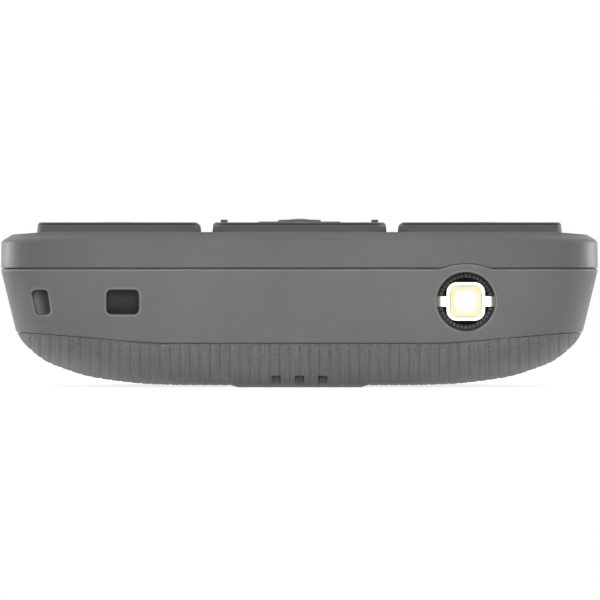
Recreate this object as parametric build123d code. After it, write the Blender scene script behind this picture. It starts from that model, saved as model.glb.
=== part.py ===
from build123d import *
import math
import os

# A bar-shaped feature phone, lying face up.
# +X is to the reader's right, +Y towards the earpiece and the torch, +Z out of the display.
# Z is zero on the surface that the phone lies on. All lengths are in millimetres.

# Casing as a whole
half_width = 25.0
half_length = 59.0
corner_radius = 8.0
end_bow_radius = 600.0
overrun = 3.0

# Levels of the outside, from the table upwards
pad_height = 0.17
shoulder_z = 4.80
shoulder_inset = 1.22
housing_seam_z = 9.97
face_z = 13.0

# Bowl of the rear cover below the shoulder
bowl_side_spread = 15.0
bowl_end_spread = 7.5
bowl_flat_corner_radius = 6.0
bowl_corner_limit_share = 0.8
# Each row is a share of the bowl's depth and the share of its spread reached there
bowl_shares = (
    (0.0, 0.0),
    (0.025, 0.22),
    (0.07, 0.37),
    (0.16, 0.56),
    (0.26, 0.67),
    (0.44, 0.82),
    (0.62, 0.90),
    (0.80, 0.96),
    (1.0, 1.0),
)

# Seams and edge breaks
seam_gap = 0.05
seam_chamfer = 0.15
cover_seam_mid_z = 3.71
cover_seam_corner_z = 4.59
cover_seam_side_z = 4.72
cover_seam_flat_margin = 12.8
cover_seam_corner_margin = 2.6
cover_seam_blend_radius = 30.0

# Upper band and its worn front edge
band_break_z = 12.15
band_break_inset = 0.03
front_edge_z = 12.40
front_edge_side_inset = 0.25
front_edge_end_inset = 0.02
front_slope_z = 12.80
front_slope_side_inset = 0.95
front_slope_end_inset = 0.55
front_flat_side_inset = 3.5
front_flat_end_inset = 1.8

# Walls
cover_wall = 1.0
upper_side_wall = 1.5
lower_side_wall = 3.2
keypad_wall = 1.0
display_wall = 2.1

# Battery and its bay
battery_side_margin = 8.0
battery_end_margin = 15.3
battery_thickness = 5.0
battery_well_gap = 4.5
battery_bottom_z = 1.95
battery_edge_radius = 0.9
battery_gap = 0.30
battery_head_gap = 0.08
label_thickness = 0.10
label_margin = 2.0
bay_floor = 0.60
bay_wall = 0.90
bay_wall_bottom_z = 3.0

# Main board
board_z = 8.0
board_thickness = 0.8
board_side_gap = 0.8
board_lower_margin = 4.0
board_upper_margin = 10.0
board_tongue_side_margin = 16.0
board_tongue_margin = 2.6
board_ledge = 0.6

# Display
window_side_margin = 4.0
window_keypad_gap = 2.4
window_end_margin = 7.3
window_corner_radius = 2.0
window_thickness = 1.0
window_sink = 0.05
window_gap = 0.10
adhesive_thickness = 0.15
ledge_width = 2.0
view_bottom_lip = 2.0
panel_side_margin = 2.4
panel_thickness = 0.85
panel_inset = 0.6
module_lower_reach = 0.1
module_upper_margin = 0.3
module_gap = 0.05
flex_half_width = 6.0
flex_thickness = 0.15
flex_reach = 0.9
flex_slot_gap = 0.2
flex_tail = 6.0

# Keypad
key_top_z = 13.97
key_radius = 1.4
key_edge_radius = 0.30
key_draft_degrees = 6.0
side_key_inner = 8.55
key_side_margin = 2.52
center_key_half = 7.47
row_gap = 1.1
row_count = 4
nav_row_gap = 1.55
keypad_end_margin = 7.45
key_hole_gap = 0.15
key_flange = 0.40
key_flange_thickness = 0.60
key_flange_gap = 0.05
key_travel = 0.40
plunger_radius = 1.5
plunger_gap = 0.05

soft_key_top_margin = 58.5
soft_key_length = 6.4
call_key_gap = 1.2

# Four-way key and the select key inside it
nav_length = 14.0
nav_radius = 3.0
nav_hole_gap = 0.20
nav_tilt_degrees = 2.0
nav_flange_drop = 0.32
nav_plunger_place = 5.35
nav_plunger_radius = 1.1
nav_ridge_place = 6.46
nav_ridge_width = 0.60
nav_ridge_length = 3.6
nav_ridge_height = 0.24
nav_ridge_round = 0.27
select_half = 3.55
select_radius = 0.25
select_gap = 0.45
select_rise = 0.08
select_rim_radius = 1.75
select_rim_base = 1.95
select_rim_height = 0.24
select_rim_width = 0.07
select_dish_radius = 1.50
select_dish_depth = 0.14
select_dome_height = 0.345
select_dome_ball = 5.06
select_flange_bottom_z = 10.83
select_flange_thickness = 0.32

# Raised point on the five key
five_point_radius = 0.85
five_point_height = 0.20
five_point_ball = 1.90
point_base = 0.2

# Silicone mat and metal domes
mat_thickness = 1.6
mat_side_margin = 3.0
mat_margin = 0.35
mat_radius = 2.5
mat_hole_radius = 2.6
nav_mat_hole_radius = 2.15
dome_radius = 2.0
dome_crown_radius = 1.2
dome_height = 0.25
nav_dome_radius = 1.7

# Earpiece
ear_end_margin = 4.4
ear_slot_half = 5.5
ear_slot_width = 1.3
ear_mesh_sink = 0.35
ear_mesh_thickness = 0.3
ear_mesh_margin = 0.6
receiver_half = 6.0
receiver_depth = 4.6
receiver_gap = 0.05
receiver_gasket = 0.25

# Loudspeaker and the holes in front of it
speaker_side_margin = 17.5
speaker_length = 11.0
speaker_end_margin = 5.7
speaker_z = 2.6
speaker_thickness = 3.1
speaker_radius = 2.0
speaker_frame_wall = 1.0
speaker_frame_gap = 0.1
speaker_gasket = 0.5
speaker_gasket_width = 1.2
speaker_port_recess = 0.4
hole_width = 0.77
hole_pitch = 1.95
hole_length = 1.53
hole_end_margin = 3.85
inner_hole_shift = -3.8
pad_half = 5.15
pad_slope = 0.49
pad_blend = 0.30
pad_length = 12.0
foot_pad_length = 6.0
foot_pad_end_margin = 3.0

# Torch in the upper end
torch_side_margin = 11.1
torch_z = 7.20
torch_bore_radius = 2.46
torch_sink = 0.50
torch_end_margin = 0.8
torch_block_half = 3.6
torch_block_length = 7.3
torch_block_z = 4.1
torch_arch_radius = 5.7
torch_arch_drop = 2.58
torch_arch_depth = 2.2
bezel_gap = 0.02
bezel_inner_radius = 1.98
bezel_length = 1.8
led_half = 1.60
led_radius = 0.85
led_sink = 0.20
led_tab_reach = 2.10
led_tab_height = 0.86
led_tab_gap = 0.04
led_tab_depth = 0.6
emitter_half = 1.25
emitter_radius = 0.5
emitter_depth = 0.25
emitter_crown = 0.12
torch_board_thickness = 0.8
torch_spring_width = 0.9
torch_spring_place = 1.2
torch_spring_thickness = 0.15

# Strap holes in the other side of the upper end
strap_z = 7.15
strap_height = 2.09
strap_inner_margin = 10.23
strap_inner_width = 2.75
strap_outer_margin = 3.245
strap_outer_width = 1.39
strap_outer_lean = 0.375
strap_outer_taper = 0.17
strap_outer_radius = 0.36
strap_radius = 0.45
strap_tunnel_length = 2.3
strap_tunnel_margin = 4.1
strap_block_width = 13.4
strap_block_length = 7.4
strap_block_z = 5.0
strap_block_top_z = 9.4

# Vibration motor beside the loudspeaker
motor_end_margin = 11.6
motor_z = 4.90
motor_radius = 2.0
motor_side_margin = 15.25
motor_length = 6.6
motor_bore_radius = 0.45
motor_bore_depth = 1.6
motor_saddle_bottom_z = 5.1
motor_saddle_gap = 0.04
weight_gap = 0.3
weight_length = 2.7
weight_radius = 1.85
weight_shaft_radius = 0.40
weight_hub_radius = 0.8

# Sockets in the lower end
jack_side_margin = 14.0
jack_z = 6.2
jack_bore_radius = 1.8
jack_half = 2.6
jack_length = 11.6
jack_end_margin = 1.4
jack_collar_radius = 2.45
jack_collar_length = 2.2
jack_gap = 0.06
jack_back_wall = 0.8
usb_half = 3.75
usb_height = 2.6
usb_depth = 5.2
usb_end_margin = 1.3
usb_shell = 0.3
usb_tongue_half = 1.8
usb_tongue_thickness = 0.6
usb_gap = 0.12
usb_corner = 0.6

# Microphone behind the lower edge of the front
mic_end_margin = 4.4
mic_half = 1.8
mic_depth = 1.4
mic_thickness = 1.1
mic_hole_radius = 0.5
mic_boot_radius = 1.3
mic_boot_wall_gap = 0.05
mic_hole_margin = 3.8

# Screws
screw_side_margin = 4.4
screw_upper_margin = 16.1
screw_window_margin = 2.0
screw_lower_side_margin = 8.0
screw_lower_margin = 5.2
screw_head_radius = 1.5
screw_head_height = 0.9
screw_radius = 0.8
screw_length = 4.2
screw_gap = 0.1
screw_slot_width = 0.35
screw_slot_depth = 0.4
boss_radius = 1.7
boss_gap = 0.04
counterbore_radius = 1.8
board_notch_radius = 1.95

# Chips, cans and holders under the board
well_side_margin = 5.4
well_length = 25.4
well_speaker_gap = 3.7
well_wall = 0.7
well_plate_z = 5.2
well_plate = 0.6
holder_height = 1.5
holder_shell = 0.2
sim_side_margin = 3.0
sim_length = 15.0
sim_margin = 0.7
sim_inner_x = 2.2
card_side_margin = 2.0
card_width = 12.0
card_length = 7.6
card_margin = 17.0
card_can_gap = 2.0
can_side_margin = 2.0
can_margin = 0.8
window_cut_margin = 1.0

# Battery connector
connector_half = 4.5
connector_gap = 0.05
connector_depth = 2.2
connector_bottom_z = 3.4
contact_width = 0.8
contact_pitch = 2.6
contact_thickness = 0.6
contact_gap = 0.06

# Antenna on its carrier at the lower end
carrier_side_margin = 10.4
carrier_length = 8.4
carrier_end_margin = 4.4
carrier_z = 2.75
carrier_plate = 0.6
carrier_post = 1.6
carrier_post_inset = 0.8
antenna_sheet = 0.12
antenna_margin = 0.8
antenna_slit = 0.7
antenna_slit_length = 6.2
antenna_slit_place = 4.2

# Clips of the rear cover
clip_thickness = 0.7
clip_gap = 0.12
clip_top_z = 5.3
clip_root_z = 1.5
clip_length = 9.0
clip_place_shares = (-0.61, -0.203, 0.44)
end_clip_length = 4.0
end_clip_block_gap = 3.2

# Places across the width, from the sides inwards
bowl_flat_half_width = half_width - bowl_side_spread
cover_seam_flat_half = half_width - cover_seam_flat_margin
cover_seam_corner_half = half_width - cover_seam_corner_margin
battery_width = 2 * (half_width - battery_side_margin)
board_tongue_half = half_width - board_tongue_side_margin
window_half_width = half_width - window_side_margin
panel_half_width = window_half_width - panel_side_margin
side_key_outer = half_width - key_side_margin
mat_half_width = half_width - mat_side_margin
speaker_half = half_width - speaker_side_margin
torch_x = torch_side_margin - half_width
strap_inner_x = half_width - strap_inner_margin
strap_outer_x = half_width - strap_outer_margin
strap_tunnel_outer_x = strap_outer_x - strap_outer_lean + (strap_outer_width - strap_outer_taper) / 2
strap_block_inner_x = half_width - strap_block_width
end_clip_place = strap_block_inner_x - end_clip_block_gap - end_clip_length / 2
motor_start_x = half_width - motor_side_margin
jack_x = half_width - jack_side_margin
screw_x = half_width - screw_side_margin
screw_lower_x = half_width - screw_lower_side_margin
well_half = half_width - well_side_margin
card_left_x = card_side_margin - well_half
can_left_x = card_left_x + card_width + card_can_gap
can_right_x = well_half - can_side_margin
sim_width = well_half - sim_side_margin - sim_inner_x
carrier_half = half_width - carrier_side_margin

# Places from the upper end downwards
bowl_flat_half_length = half_length - bowl_end_spread
board_top_y = half_length - board_upper_margin
soft_key_top_y = half_length - soft_key_top_margin
board_tongue_y = half_length - board_tongue_margin
window_top_y = half_length - window_end_margin
module_top_y = window_top_y - module_upper_margin
ear_y = half_length - ear_end_margin
speaker_top_y = half_length - speaker_end_margin
speaker_bottom_y = speaker_top_y - speaker_length
hole_far_y = half_length - hole_end_margin
hole_near_y = hole_far_y - hole_length
pad_near_y = half_length - pad_length
torch_face_y = half_length - torch_end_margin
torch_block_bottom_y = half_length - torch_block_length
strap_tunnel_far_y = half_length - strap_tunnel_margin
strap_tunnel_near_y = strap_tunnel_far_y - strap_tunnel_length
strap_block_near_y = half_length - strap_block_length
motor_y = half_length - motor_end_margin
screw_upper_y = half_length - screw_upper_margin
well_top_y = speaker_bottom_y - well_speaker_gap
well_bottom_y = well_top_y - well_length
sim_bottom_y = well_bottom_y + sim_margin
card_bottom_y = well_bottom_y + card_margin
can_bottom_y = card_bottom_y
can_top_y = well_top_y - can_margin

# Places from the lower end upwards
board_bottom_y = board_lower_margin - half_length
foot_pad_far_y = half_length - foot_pad_end_margin
jack_mouth_y = jack_end_margin - half_length
jack_inner_y = jack_mouth_y + jack_length
usb_mouth_y = usb_end_margin - half_length
mic_y = mic_end_margin - half_length
mic_face_y = mic_hole_margin - half_length
screw_lower_y = screw_lower_margin - half_length
carrier_far_y = carrier_end_margin - half_length
carrier_near_y = carrier_far_y + carrier_length
keypad_bottom_y = keypad_end_margin - half_length
battery_bottom_y = battery_end_margin - half_length

# The battery fills what the wells leave, and the keys what the display leaves
battery_top_y = well_bottom_y - battery_well_gap
battery_length = battery_top_y - battery_bottom_y
battery_center_y = (battery_top_y + battery_bottom_y) / 2
window_bottom_y = soft_key_top_y + window_keypad_gap
module_bottom_y = window_bottom_y - module_lower_reach
screw_middle_y = window_bottom_y + screw_window_margin
nav_center_y = soft_key_top_y - nav_length / 2
call_key_top_y = soft_key_top_y - soft_key_length - call_key_gap
first_row_top_y = soft_key_top_y - nav_length - nav_row_gap
row_pitch = (first_row_top_y - keypad_bottom_y + row_gap) / row_count
key_length = row_pitch - row_gap
first_row_y = first_row_top_y - key_length / 2
clip_places_y = [share * half_length for share in clip_place_shares]


def block(x0, x1, y0, y1, z0, z1):
    """A box between two corners."""
    body = Box(abs(x1 - x0), abs(y1 - y0), abs(z1 - z0))
    return Pos((x0 + x1) / 2, (y0 + y1) / 2, (z0 + z1) / 2) * body


def round_block(x0, x1, y0, y1, z0, z1, radius):
    """A box whose four upright edges are rounded."""
    plate = RectangleRounded(abs(x1 - x0), abs(y1 - y0), radius)
    return extrude(Pos((x0 + x1) / 2, (y0 + y1) / 2, z0) * plate, amount=z1 - z0)


def rod_z(x, y, z0, z1, radius):
    """An upright rod."""
    return Pos(x, y, (z0 + z1) / 2) * Cylinder(radius, z1 - z0)


def rod_y(x, z, y0, y1, radius):
    """A rod along Y."""
    return Pos(x, (y0 + y1) / 2, z) * Rot(X=90) * Cylinder(radius, abs(y1 - y0))


def rod_x(y, z, x0, x1, radius):
    """A rod along X."""
    return Pos((x0 + x1) / 2, y, z) * Rot(Y=90) * Cylinder(radius, abs(x1 - x0))


def plan_wire(side, end, corner, z):
    """One level of the casing: straight sides, round corners and gently bowed ends."""
    bow_center = end - end_bow_radius
    inner = side - corner
    corner_y = bow_center + math.sqrt((end_bow_radius - corner) ** 2 - inner**2)
    lean = math.atan2(inner, corner_y - bow_center)
    touch_x = inner + corner * math.sin(lean)
    touch_y = corner_y + corner * math.cos(lean)
    half_turn = (math.pi / 2 - lean) / 2
    mid_x = inner + corner * math.cos(half_turn)
    mid_y = corner_y + corner * math.sin(half_turn)
    edges = [
        Edge.make_line((side, -corner_y, z), (side, corner_y, z)),
        Edge.make_three_point_arc((side, corner_y, z), (mid_x, mid_y, z), (touch_x, touch_y, z)),
        Edge.make_three_point_arc((touch_x, touch_y, z), (0, end, z), (-touch_x, touch_y, z)),
        Edge.make_three_point_arc((-touch_x, touch_y, z), (-mid_x, mid_y, z), (-side, corner_y, z)),
        Edge.make_line((-side, corner_y, z), (-side, -corner_y, z)),
        Edge.make_three_point_arc((-side, -corner_y, z), (-mid_x, -mid_y, z), (-touch_x, -touch_y, z)),
        Edge.make_three_point_arc((-touch_x, -touch_y, z), (0, -end, z), (touch_x, -touch_y, z)),
        Edge.make_three_point_arc((touch_x, -touch_y, z), (mid_x, -mid_y, z), (side, -corner_y, z)),
    ]
    return Wire(edges)


def plan_prism(inset, z0, z1):
    """The casing's plan, drawn in by an inset and raised between two levels."""
    wire = plan_wire(half_width - inset, half_length - inset, corner_radius - inset, z0)
    return extrude(Face(wire), amount=z1 - z0, dir=(0, 0, 1))


def level_loft(levels):
    """A ruled skin through levels of (half width, half length, corner radius, height)."""
    return Part() + Solid.make_loft([plan_wire(*level) for level in levels], True)


def bowl_levels(wall):
    """Levels of the bowl, drawn in by a wall: zero gives the outside."""
    depth = shoulder_z - pad_height
    shoulder_side = half_width - shoulder_inset
    shoulder_end = half_length - shoulder_inset
    flat_corner = min(bowl_flat_corner_radius, bowl_corner_limit_share * bowl_flat_half_width)
    levels = []
    for rise_share, spread_share in bowl_shares:
        side = bowl_flat_half_width + spread_share * (shoulder_side - bowl_flat_half_width)
        end = bowl_flat_half_length + spread_share * (shoulder_end - bowl_flat_half_length)
        corner = flat_corner + spread_share * (corner_radius - flat_corner)
        z = pad_height + rise_share * depth
        inset = wall * rise_share
        levels.append((side - inset, end - inset, corner - inset, z + wall * (1 - rise_share)))
    return levels


def lower_body():
    """The closed outside of rear cover and middle housing together."""
    levels = bowl_levels(0)
    levels.append((half_width, half_length, corner_radius, housing_seam_z - seam_chamfer))
    top_inset = seam_chamfer
    levels.append((half_width - top_inset, half_length - top_inset, corner_radius - top_inset, housing_seam_z))
    return level_loft(levels)


def under_seam(drop):
    """Everything below the seam of the rear cover, which rises towards the corners."""
    reach = half_width + overrun
    line = FilletPolyline(
        (-reach, cover_seam_side_z - drop),
        (-cover_seam_corner_half, cover_seam_corner_z - drop),
        (-cover_seam_flat_half, cover_seam_mid_z - drop),
        (cover_seam_flat_half, cover_seam_mid_z - drop),
        (cover_seam_corner_half, cover_seam_corner_z - drop),
        (reach, cover_seam_side_z - drop),
        radius=cover_seam_blend_radius,
    )
    closing = Polyline(
        (reach, cover_seam_side_z - drop),
        (reach, -overrun),
        (-reach, -overrun),
        (-reach, cover_seam_side_z - drop),
    )
    face = make_face(line.edges() + closing.edges())
    return extrude(Plane.XZ * face, amount=half_length + overrun, both=True)


# Levels that several pieces share
battery_top_z = battery_bottom_z + battery_thickness
bay_floor_z = battery_top_z + battery_head_gap
bay_floor_top_z = bay_floor_z + bay_floor
board_top_z = board_z + board_thickness
upper_inset = upper_side_wall
lower_inset = lower_side_wall
keypad_roof_z = face_z - keypad_wall
display_roof_z = face_z - display_wall
window_top_z = face_z - window_sink
window_z = window_top_z - window_thickness
ledge_z = window_z - adhesive_thickness
view_half_width = window_half_width - ledge_width
view_bottom_y = window_bottom_y + view_bottom_lip
view_top_y = window_top_y - ledge_width
mat_top_z = board_top_z + mat_thickness
flange_top_z = keypad_roof_z - key_flange_gap
flange_bottom_z = flange_top_z - key_flange_thickness
dome_top_z = board_top_z + dome_height
plunger_tip_z = dome_top_z + plunger_gap + key_travel
torch_front_y = torch_face_y - torch_sink
led_front_y = torch_front_y - led_sink
torch_board_front_y = torch_front_y - bezel_length
bay_bottom_y = battery_center_y - battery_length / 2 - battery_gap
bay_top_y = battery_center_y + battery_length / 2 + battery_gap
bay_half = battery_width / 2 + battery_gap

screw_places = [
    (side * place_x, place_y)
    for side in (-1, 1)
    for place_x, place_y in (
        (screw_x, screw_upper_y),
        (screw_x, screw_middle_y),
        (screw_lower_x, screw_lower_y),
    )
]

side_key_center = (side_key_inner + side_key_outer) / 2
side_key_width = side_key_outer - side_key_inner
columns = (
    (-side_key_center, side_key_width),
    (0, 2 * center_key_half),
    (side_key_center, side_key_width),
)
digit_names = (
    ("key_1", "key_2", "key_3"),
    ("key_4", "key_5", "key_6"),
    ("key_7", "key_8", "key_9"),
    ("key_star", "key_0", "key_hash"),
)


def plain_keys():
    """Name, centre and size of every key that is pressed straight down."""
    keys = {}
    for row, names in enumerate(digit_names):
        for (x, width), name in zip(columns, names):
            keys[name] = (x, first_row_y - row * row_pitch, width, key_length)
    soft_y = soft_key_top_y - soft_key_length / 2
    call_y = call_key_top_y - soft_key_length / 2
    for side, word in ((-1, "left"), (1, "right")):
        keys["key_soft_" + word] = (side * side_key_center, soft_y, side_key_width, soft_key_length)
    keys["key_call"] = (-side_key_center, call_y, side_key_width, soft_key_length)
    keys["key_end"] = (side_key_center, call_y, side_key_width, soft_key_length)
    return keys


nav_plungers = [
    (reach_x * nav_plunger_place, nav_center_y + reach_y * nav_plunger_place)
    for reach_x, reach_y in ((1, 0), (-1, 0), (0, 1), (0, -1))
]


def capped(plan, z0, z1):
    """A key body with drafted sides and a softened top edge."""
    body = extrude(Pos(0, 0, z0) * plan, amount=z1 - z0, taper=key_draft_degrees)
    top = body.faces().sort_by(Axis.Z)[-1]
    return fillet(top.edges(), key_edge_radius)


def make_key(x, y, width, length):
    """One keycap: drafted top, flange below the front wall and plunger over its dome."""
    plan = Pos(x, y) * RectangleRounded(width, length, key_radius)
    wide = Pos(x, y) * RectangleRounded(
        width + 2 * key_flange, length + 2 * key_flange, key_radius + key_flange
    )
    cap = capped(plan, face_z, key_top_z)
    neck = extrude(Pos(0, 0, flange_top_z) * plan, amount=face_z - flange_top_z)
    flange = extrude(Pos(0, 0, flange_bottom_z) * wide, amount=key_flange_thickness)
    plunger = rod_z(x, y, plunger_tip_z, flange_bottom_z, plunger_radius)
    return cap + neck + flange + plunger


def raised_point(x, y, radius, height, ball):
    """A shallow dome on a key top that a finger finds: the top of a ball, cut at a radius."""
    dome = Pos(x, y, key_top_z + height - ball) * Sphere(ball)
    return dome & rod_z(x, y, key_top_z - point_base, key_top_z + height, radius)


def make_nav_key():
    """The four-way key: a ring that rocks over four domes."""
    y = nav_center_y
    plan = Pos(0, y) * RectangleRounded(2 * center_key_half, nav_length, nav_radius)
    top_z = key_top_z
    flange_top = keypad_roof_z - nav_flange_drop
    body = capped(plan, face_z, top_z)
    body += extrude(Pos(0, 0, flange_bottom_z) * plan, amount=face_z - flange_bottom_z)
    wide = Pos(0, y) * RectangleRounded(
        2 * (center_key_half + key_flange), nav_length + 2 * key_flange, nav_radius + key_flange
    )
    body += extrude(Pos(0, 0, flange_bottom_z) * wide, amount=flange_top - flange_bottom_z)
    hole_half = select_half + select_gap
    hole = Pos(0, y) * RectangleRounded(2 * hole_half, 2 * hole_half, select_radius + select_gap)
    body -= extrude(Pos(0, 0, flange_bottom_z - overrun) * hole, amount=top_z + overrun)
    tilt_drop = nav_plunger_place * math.sin(math.radians(nav_tilt_degrees))
    tip_z = dome_top_z + plunger_gap + tilt_drop
    for px, py in nav_plungers:
        body += rod_z(px, py, tip_z, flange_bottom_z, nav_plunger_radius)
    for side in (-1, 1):
        ridge = round_block(
            side * nav_ridge_place - nav_ridge_width / 2,
            side * nav_ridge_place + nav_ridge_width / 2,
            y - nav_ridge_length / 2,
            y + nav_ridge_length / 2,
            top_z - nav_ridge_height,
            top_z + nav_ridge_height,
            nav_ridge_round,
        )
        body += ridge
    return body


def make_select_key():
    """The select key: a square cap with a round rim and a shallow dome inside it."""
    y = nav_center_y
    plan = Pos(0, y) * RectangleRounded(2 * select_half, 2 * select_half, select_radius)
    top_z = key_top_z + select_rise
    flange_top = select_flange_bottom_z + select_flange_thickness
    body = extrude(Pos(0, 0, flange_top) * plan, amount=top_z - flange_top)
    body = fillet(body.faces().sort_by(Axis.Z)[-1].edges(), key_edge_radius / 2)
    cone = Cone(select_rim_base, select_rim_radius, select_rim_height)
    body += Pos(0, y, key_top_z + select_rim_height / 2) * cone
    dish_top_radius = select_rim_radius - select_rim_width
    dish_z = key_top_z + select_rim_height - select_dish_depth
    dish = Cone(select_dish_radius, dish_top_radius, select_dish_depth)
    body -= Pos(0, y, dish_z + select_dish_depth / 2) * dish
    body += raised_point(0, y, select_dish_radius, select_dome_height, select_dome_ball)
    wide_half = select_half + key_flange
    wide = Pos(0, y) * RectangleRounded(2 * wide_half, 2 * wide_half, select_radius + key_flange)
    body += extrude(Pos(0, 0, select_flange_bottom_z) * wide, amount=select_flange_thickness)
    body += rod_z(0, y, plunger_tip_z, select_flange_bottom_z, plunger_radius)
    return body


def torch_arch(gap, near_y, far_y):
    """The round of the middle housing that rises over the torch into the upper band."""
    return rod_y(torch_x, torch_z - torch_arch_drop, near_y, far_y, torch_arch_radius + gap)


def make_front_housing():
    """Upper band and front face in one shell."""
    low = housing_seam_z + seam_gap
    levels = [
        (half_width, half_length, corner_radius, low),
        (half_width - band_break_inset, half_length, corner_radius, band_break_z),
        (
            half_width - front_edge_side_inset,
            half_length - front_edge_end_inset,
            corner_radius - front_edge_end_inset,
            front_edge_z,
        ),
        (
            half_width - front_slope_side_inset,
            half_length - front_slope_end_inset,
            corner_radius - front_slope_end_inset,
            front_slope_z,
        ),
        (
            half_width - front_flat_side_inset,
            half_length - front_flat_end_inset,
            corner_radius - front_flat_end_inset,
            face_z,
        ),
    ]
    shell = level_loft(levels)
    keypad_top_y = window_bottom_y - window_gap - keypad_wall / 2
    keypad_room = plan_prism(upper_inset, low - overrun, keypad_roof_z)
    reach = half_length + overrun
    keypad_room &= block(-reach, reach, -reach, keypad_top_y, low - overrun, keypad_roof_z)
    shell -= keypad_room
    shell -= plan_prism(upper_inset, low - overrun, display_roof_z)

    shell -= round_block(
        -window_half_width - window_gap,
        window_half_width + window_gap,
        window_bottom_y - window_gap,
        window_top_y + window_gap,
        ledge_z,
        face_z + overrun,
        window_corner_radius + window_gap,
    )
    shell -= round_block(
        -view_half_width,
        view_half_width,
        view_bottom_y,
        view_top_y,
        display_roof_z - overrun,
        ledge_z + overrun / 2,
        window_corner_radius,
    )

    for x, y, width, length in plain_keys().values():
        hole = RectangleRounded(
            width + 2 * key_hole_gap, length + 2 * key_hole_gap, key_radius + key_hole_gap
        )
        shell -= extrude(Pos(x, y, keypad_roof_z - keypad_wall) * hole, amount=2 * keypad_wall + overrun)
    nav_hole = RectangleRounded(
        2 * (center_key_half + nav_hole_gap), nav_length + 2 * nav_hole_gap, nav_radius + nav_hole_gap
    )
    shell -= extrude(
        Pos(0, nav_center_y, keypad_roof_z - keypad_wall) * nav_hole, amount=2 * keypad_wall + overrun
    )

    slot = SlotOverall(2 * ear_slot_half, ear_slot_width)
    shell -= extrude(Pos(0, ear_y, display_roof_z - overrun) * slot, amount=display_wall + 2 * overrun)
    seat = SlotOverall(2 * (ear_slot_half + ear_mesh_margin), ear_slot_width + 2 * ear_mesh_margin)
    seat_top = face_z - ear_mesh_sink
    shell -= extrude(Pos(0, ear_y, seat_top - ear_mesh_thickness) * seat, amount=ear_mesh_thickness)
    shell -= rod_z(0, mic_face_y, keypad_roof_z - keypad_wall, face_z + overrun, mic_hole_radius)

    shell -= torch_arch(seam_gap, half_length - torch_arch_depth, half_length + overrun)
    for x, y in screw_places:
        roof_z = display_roof_z if y > keypad_top_y else keypad_roof_z
        boss = rod_z(x, y, bay_floor_top_z + boss_gap, roof_z, boss_radius)
        bore = rod_z(x, y, bay_floor_top_z, bay_floor_z + screw_length, screw_radius)
        shell += boss
        shell -= bore
    return shell


def leaning_opening(low, high):
    """The strap hole on the corner, which leans and narrows with the wall around it."""
    top_half = strap_outer_width / 2
    foot_half = top_half - strap_outer_taper / 2
    foot_x = strap_outer_x - strap_outer_lean
    outline = Polyline(
        (strap_outer_x - top_half, high),
        (strap_outer_x + top_half, high),
        (foot_x + foot_half, low),
        (foot_x - foot_half, low),
        (strap_outer_x - top_half, high),
    )
    opening = make_face(outline.edges())
    return fillet(opening.vertices(), strap_outer_radius)


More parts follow.
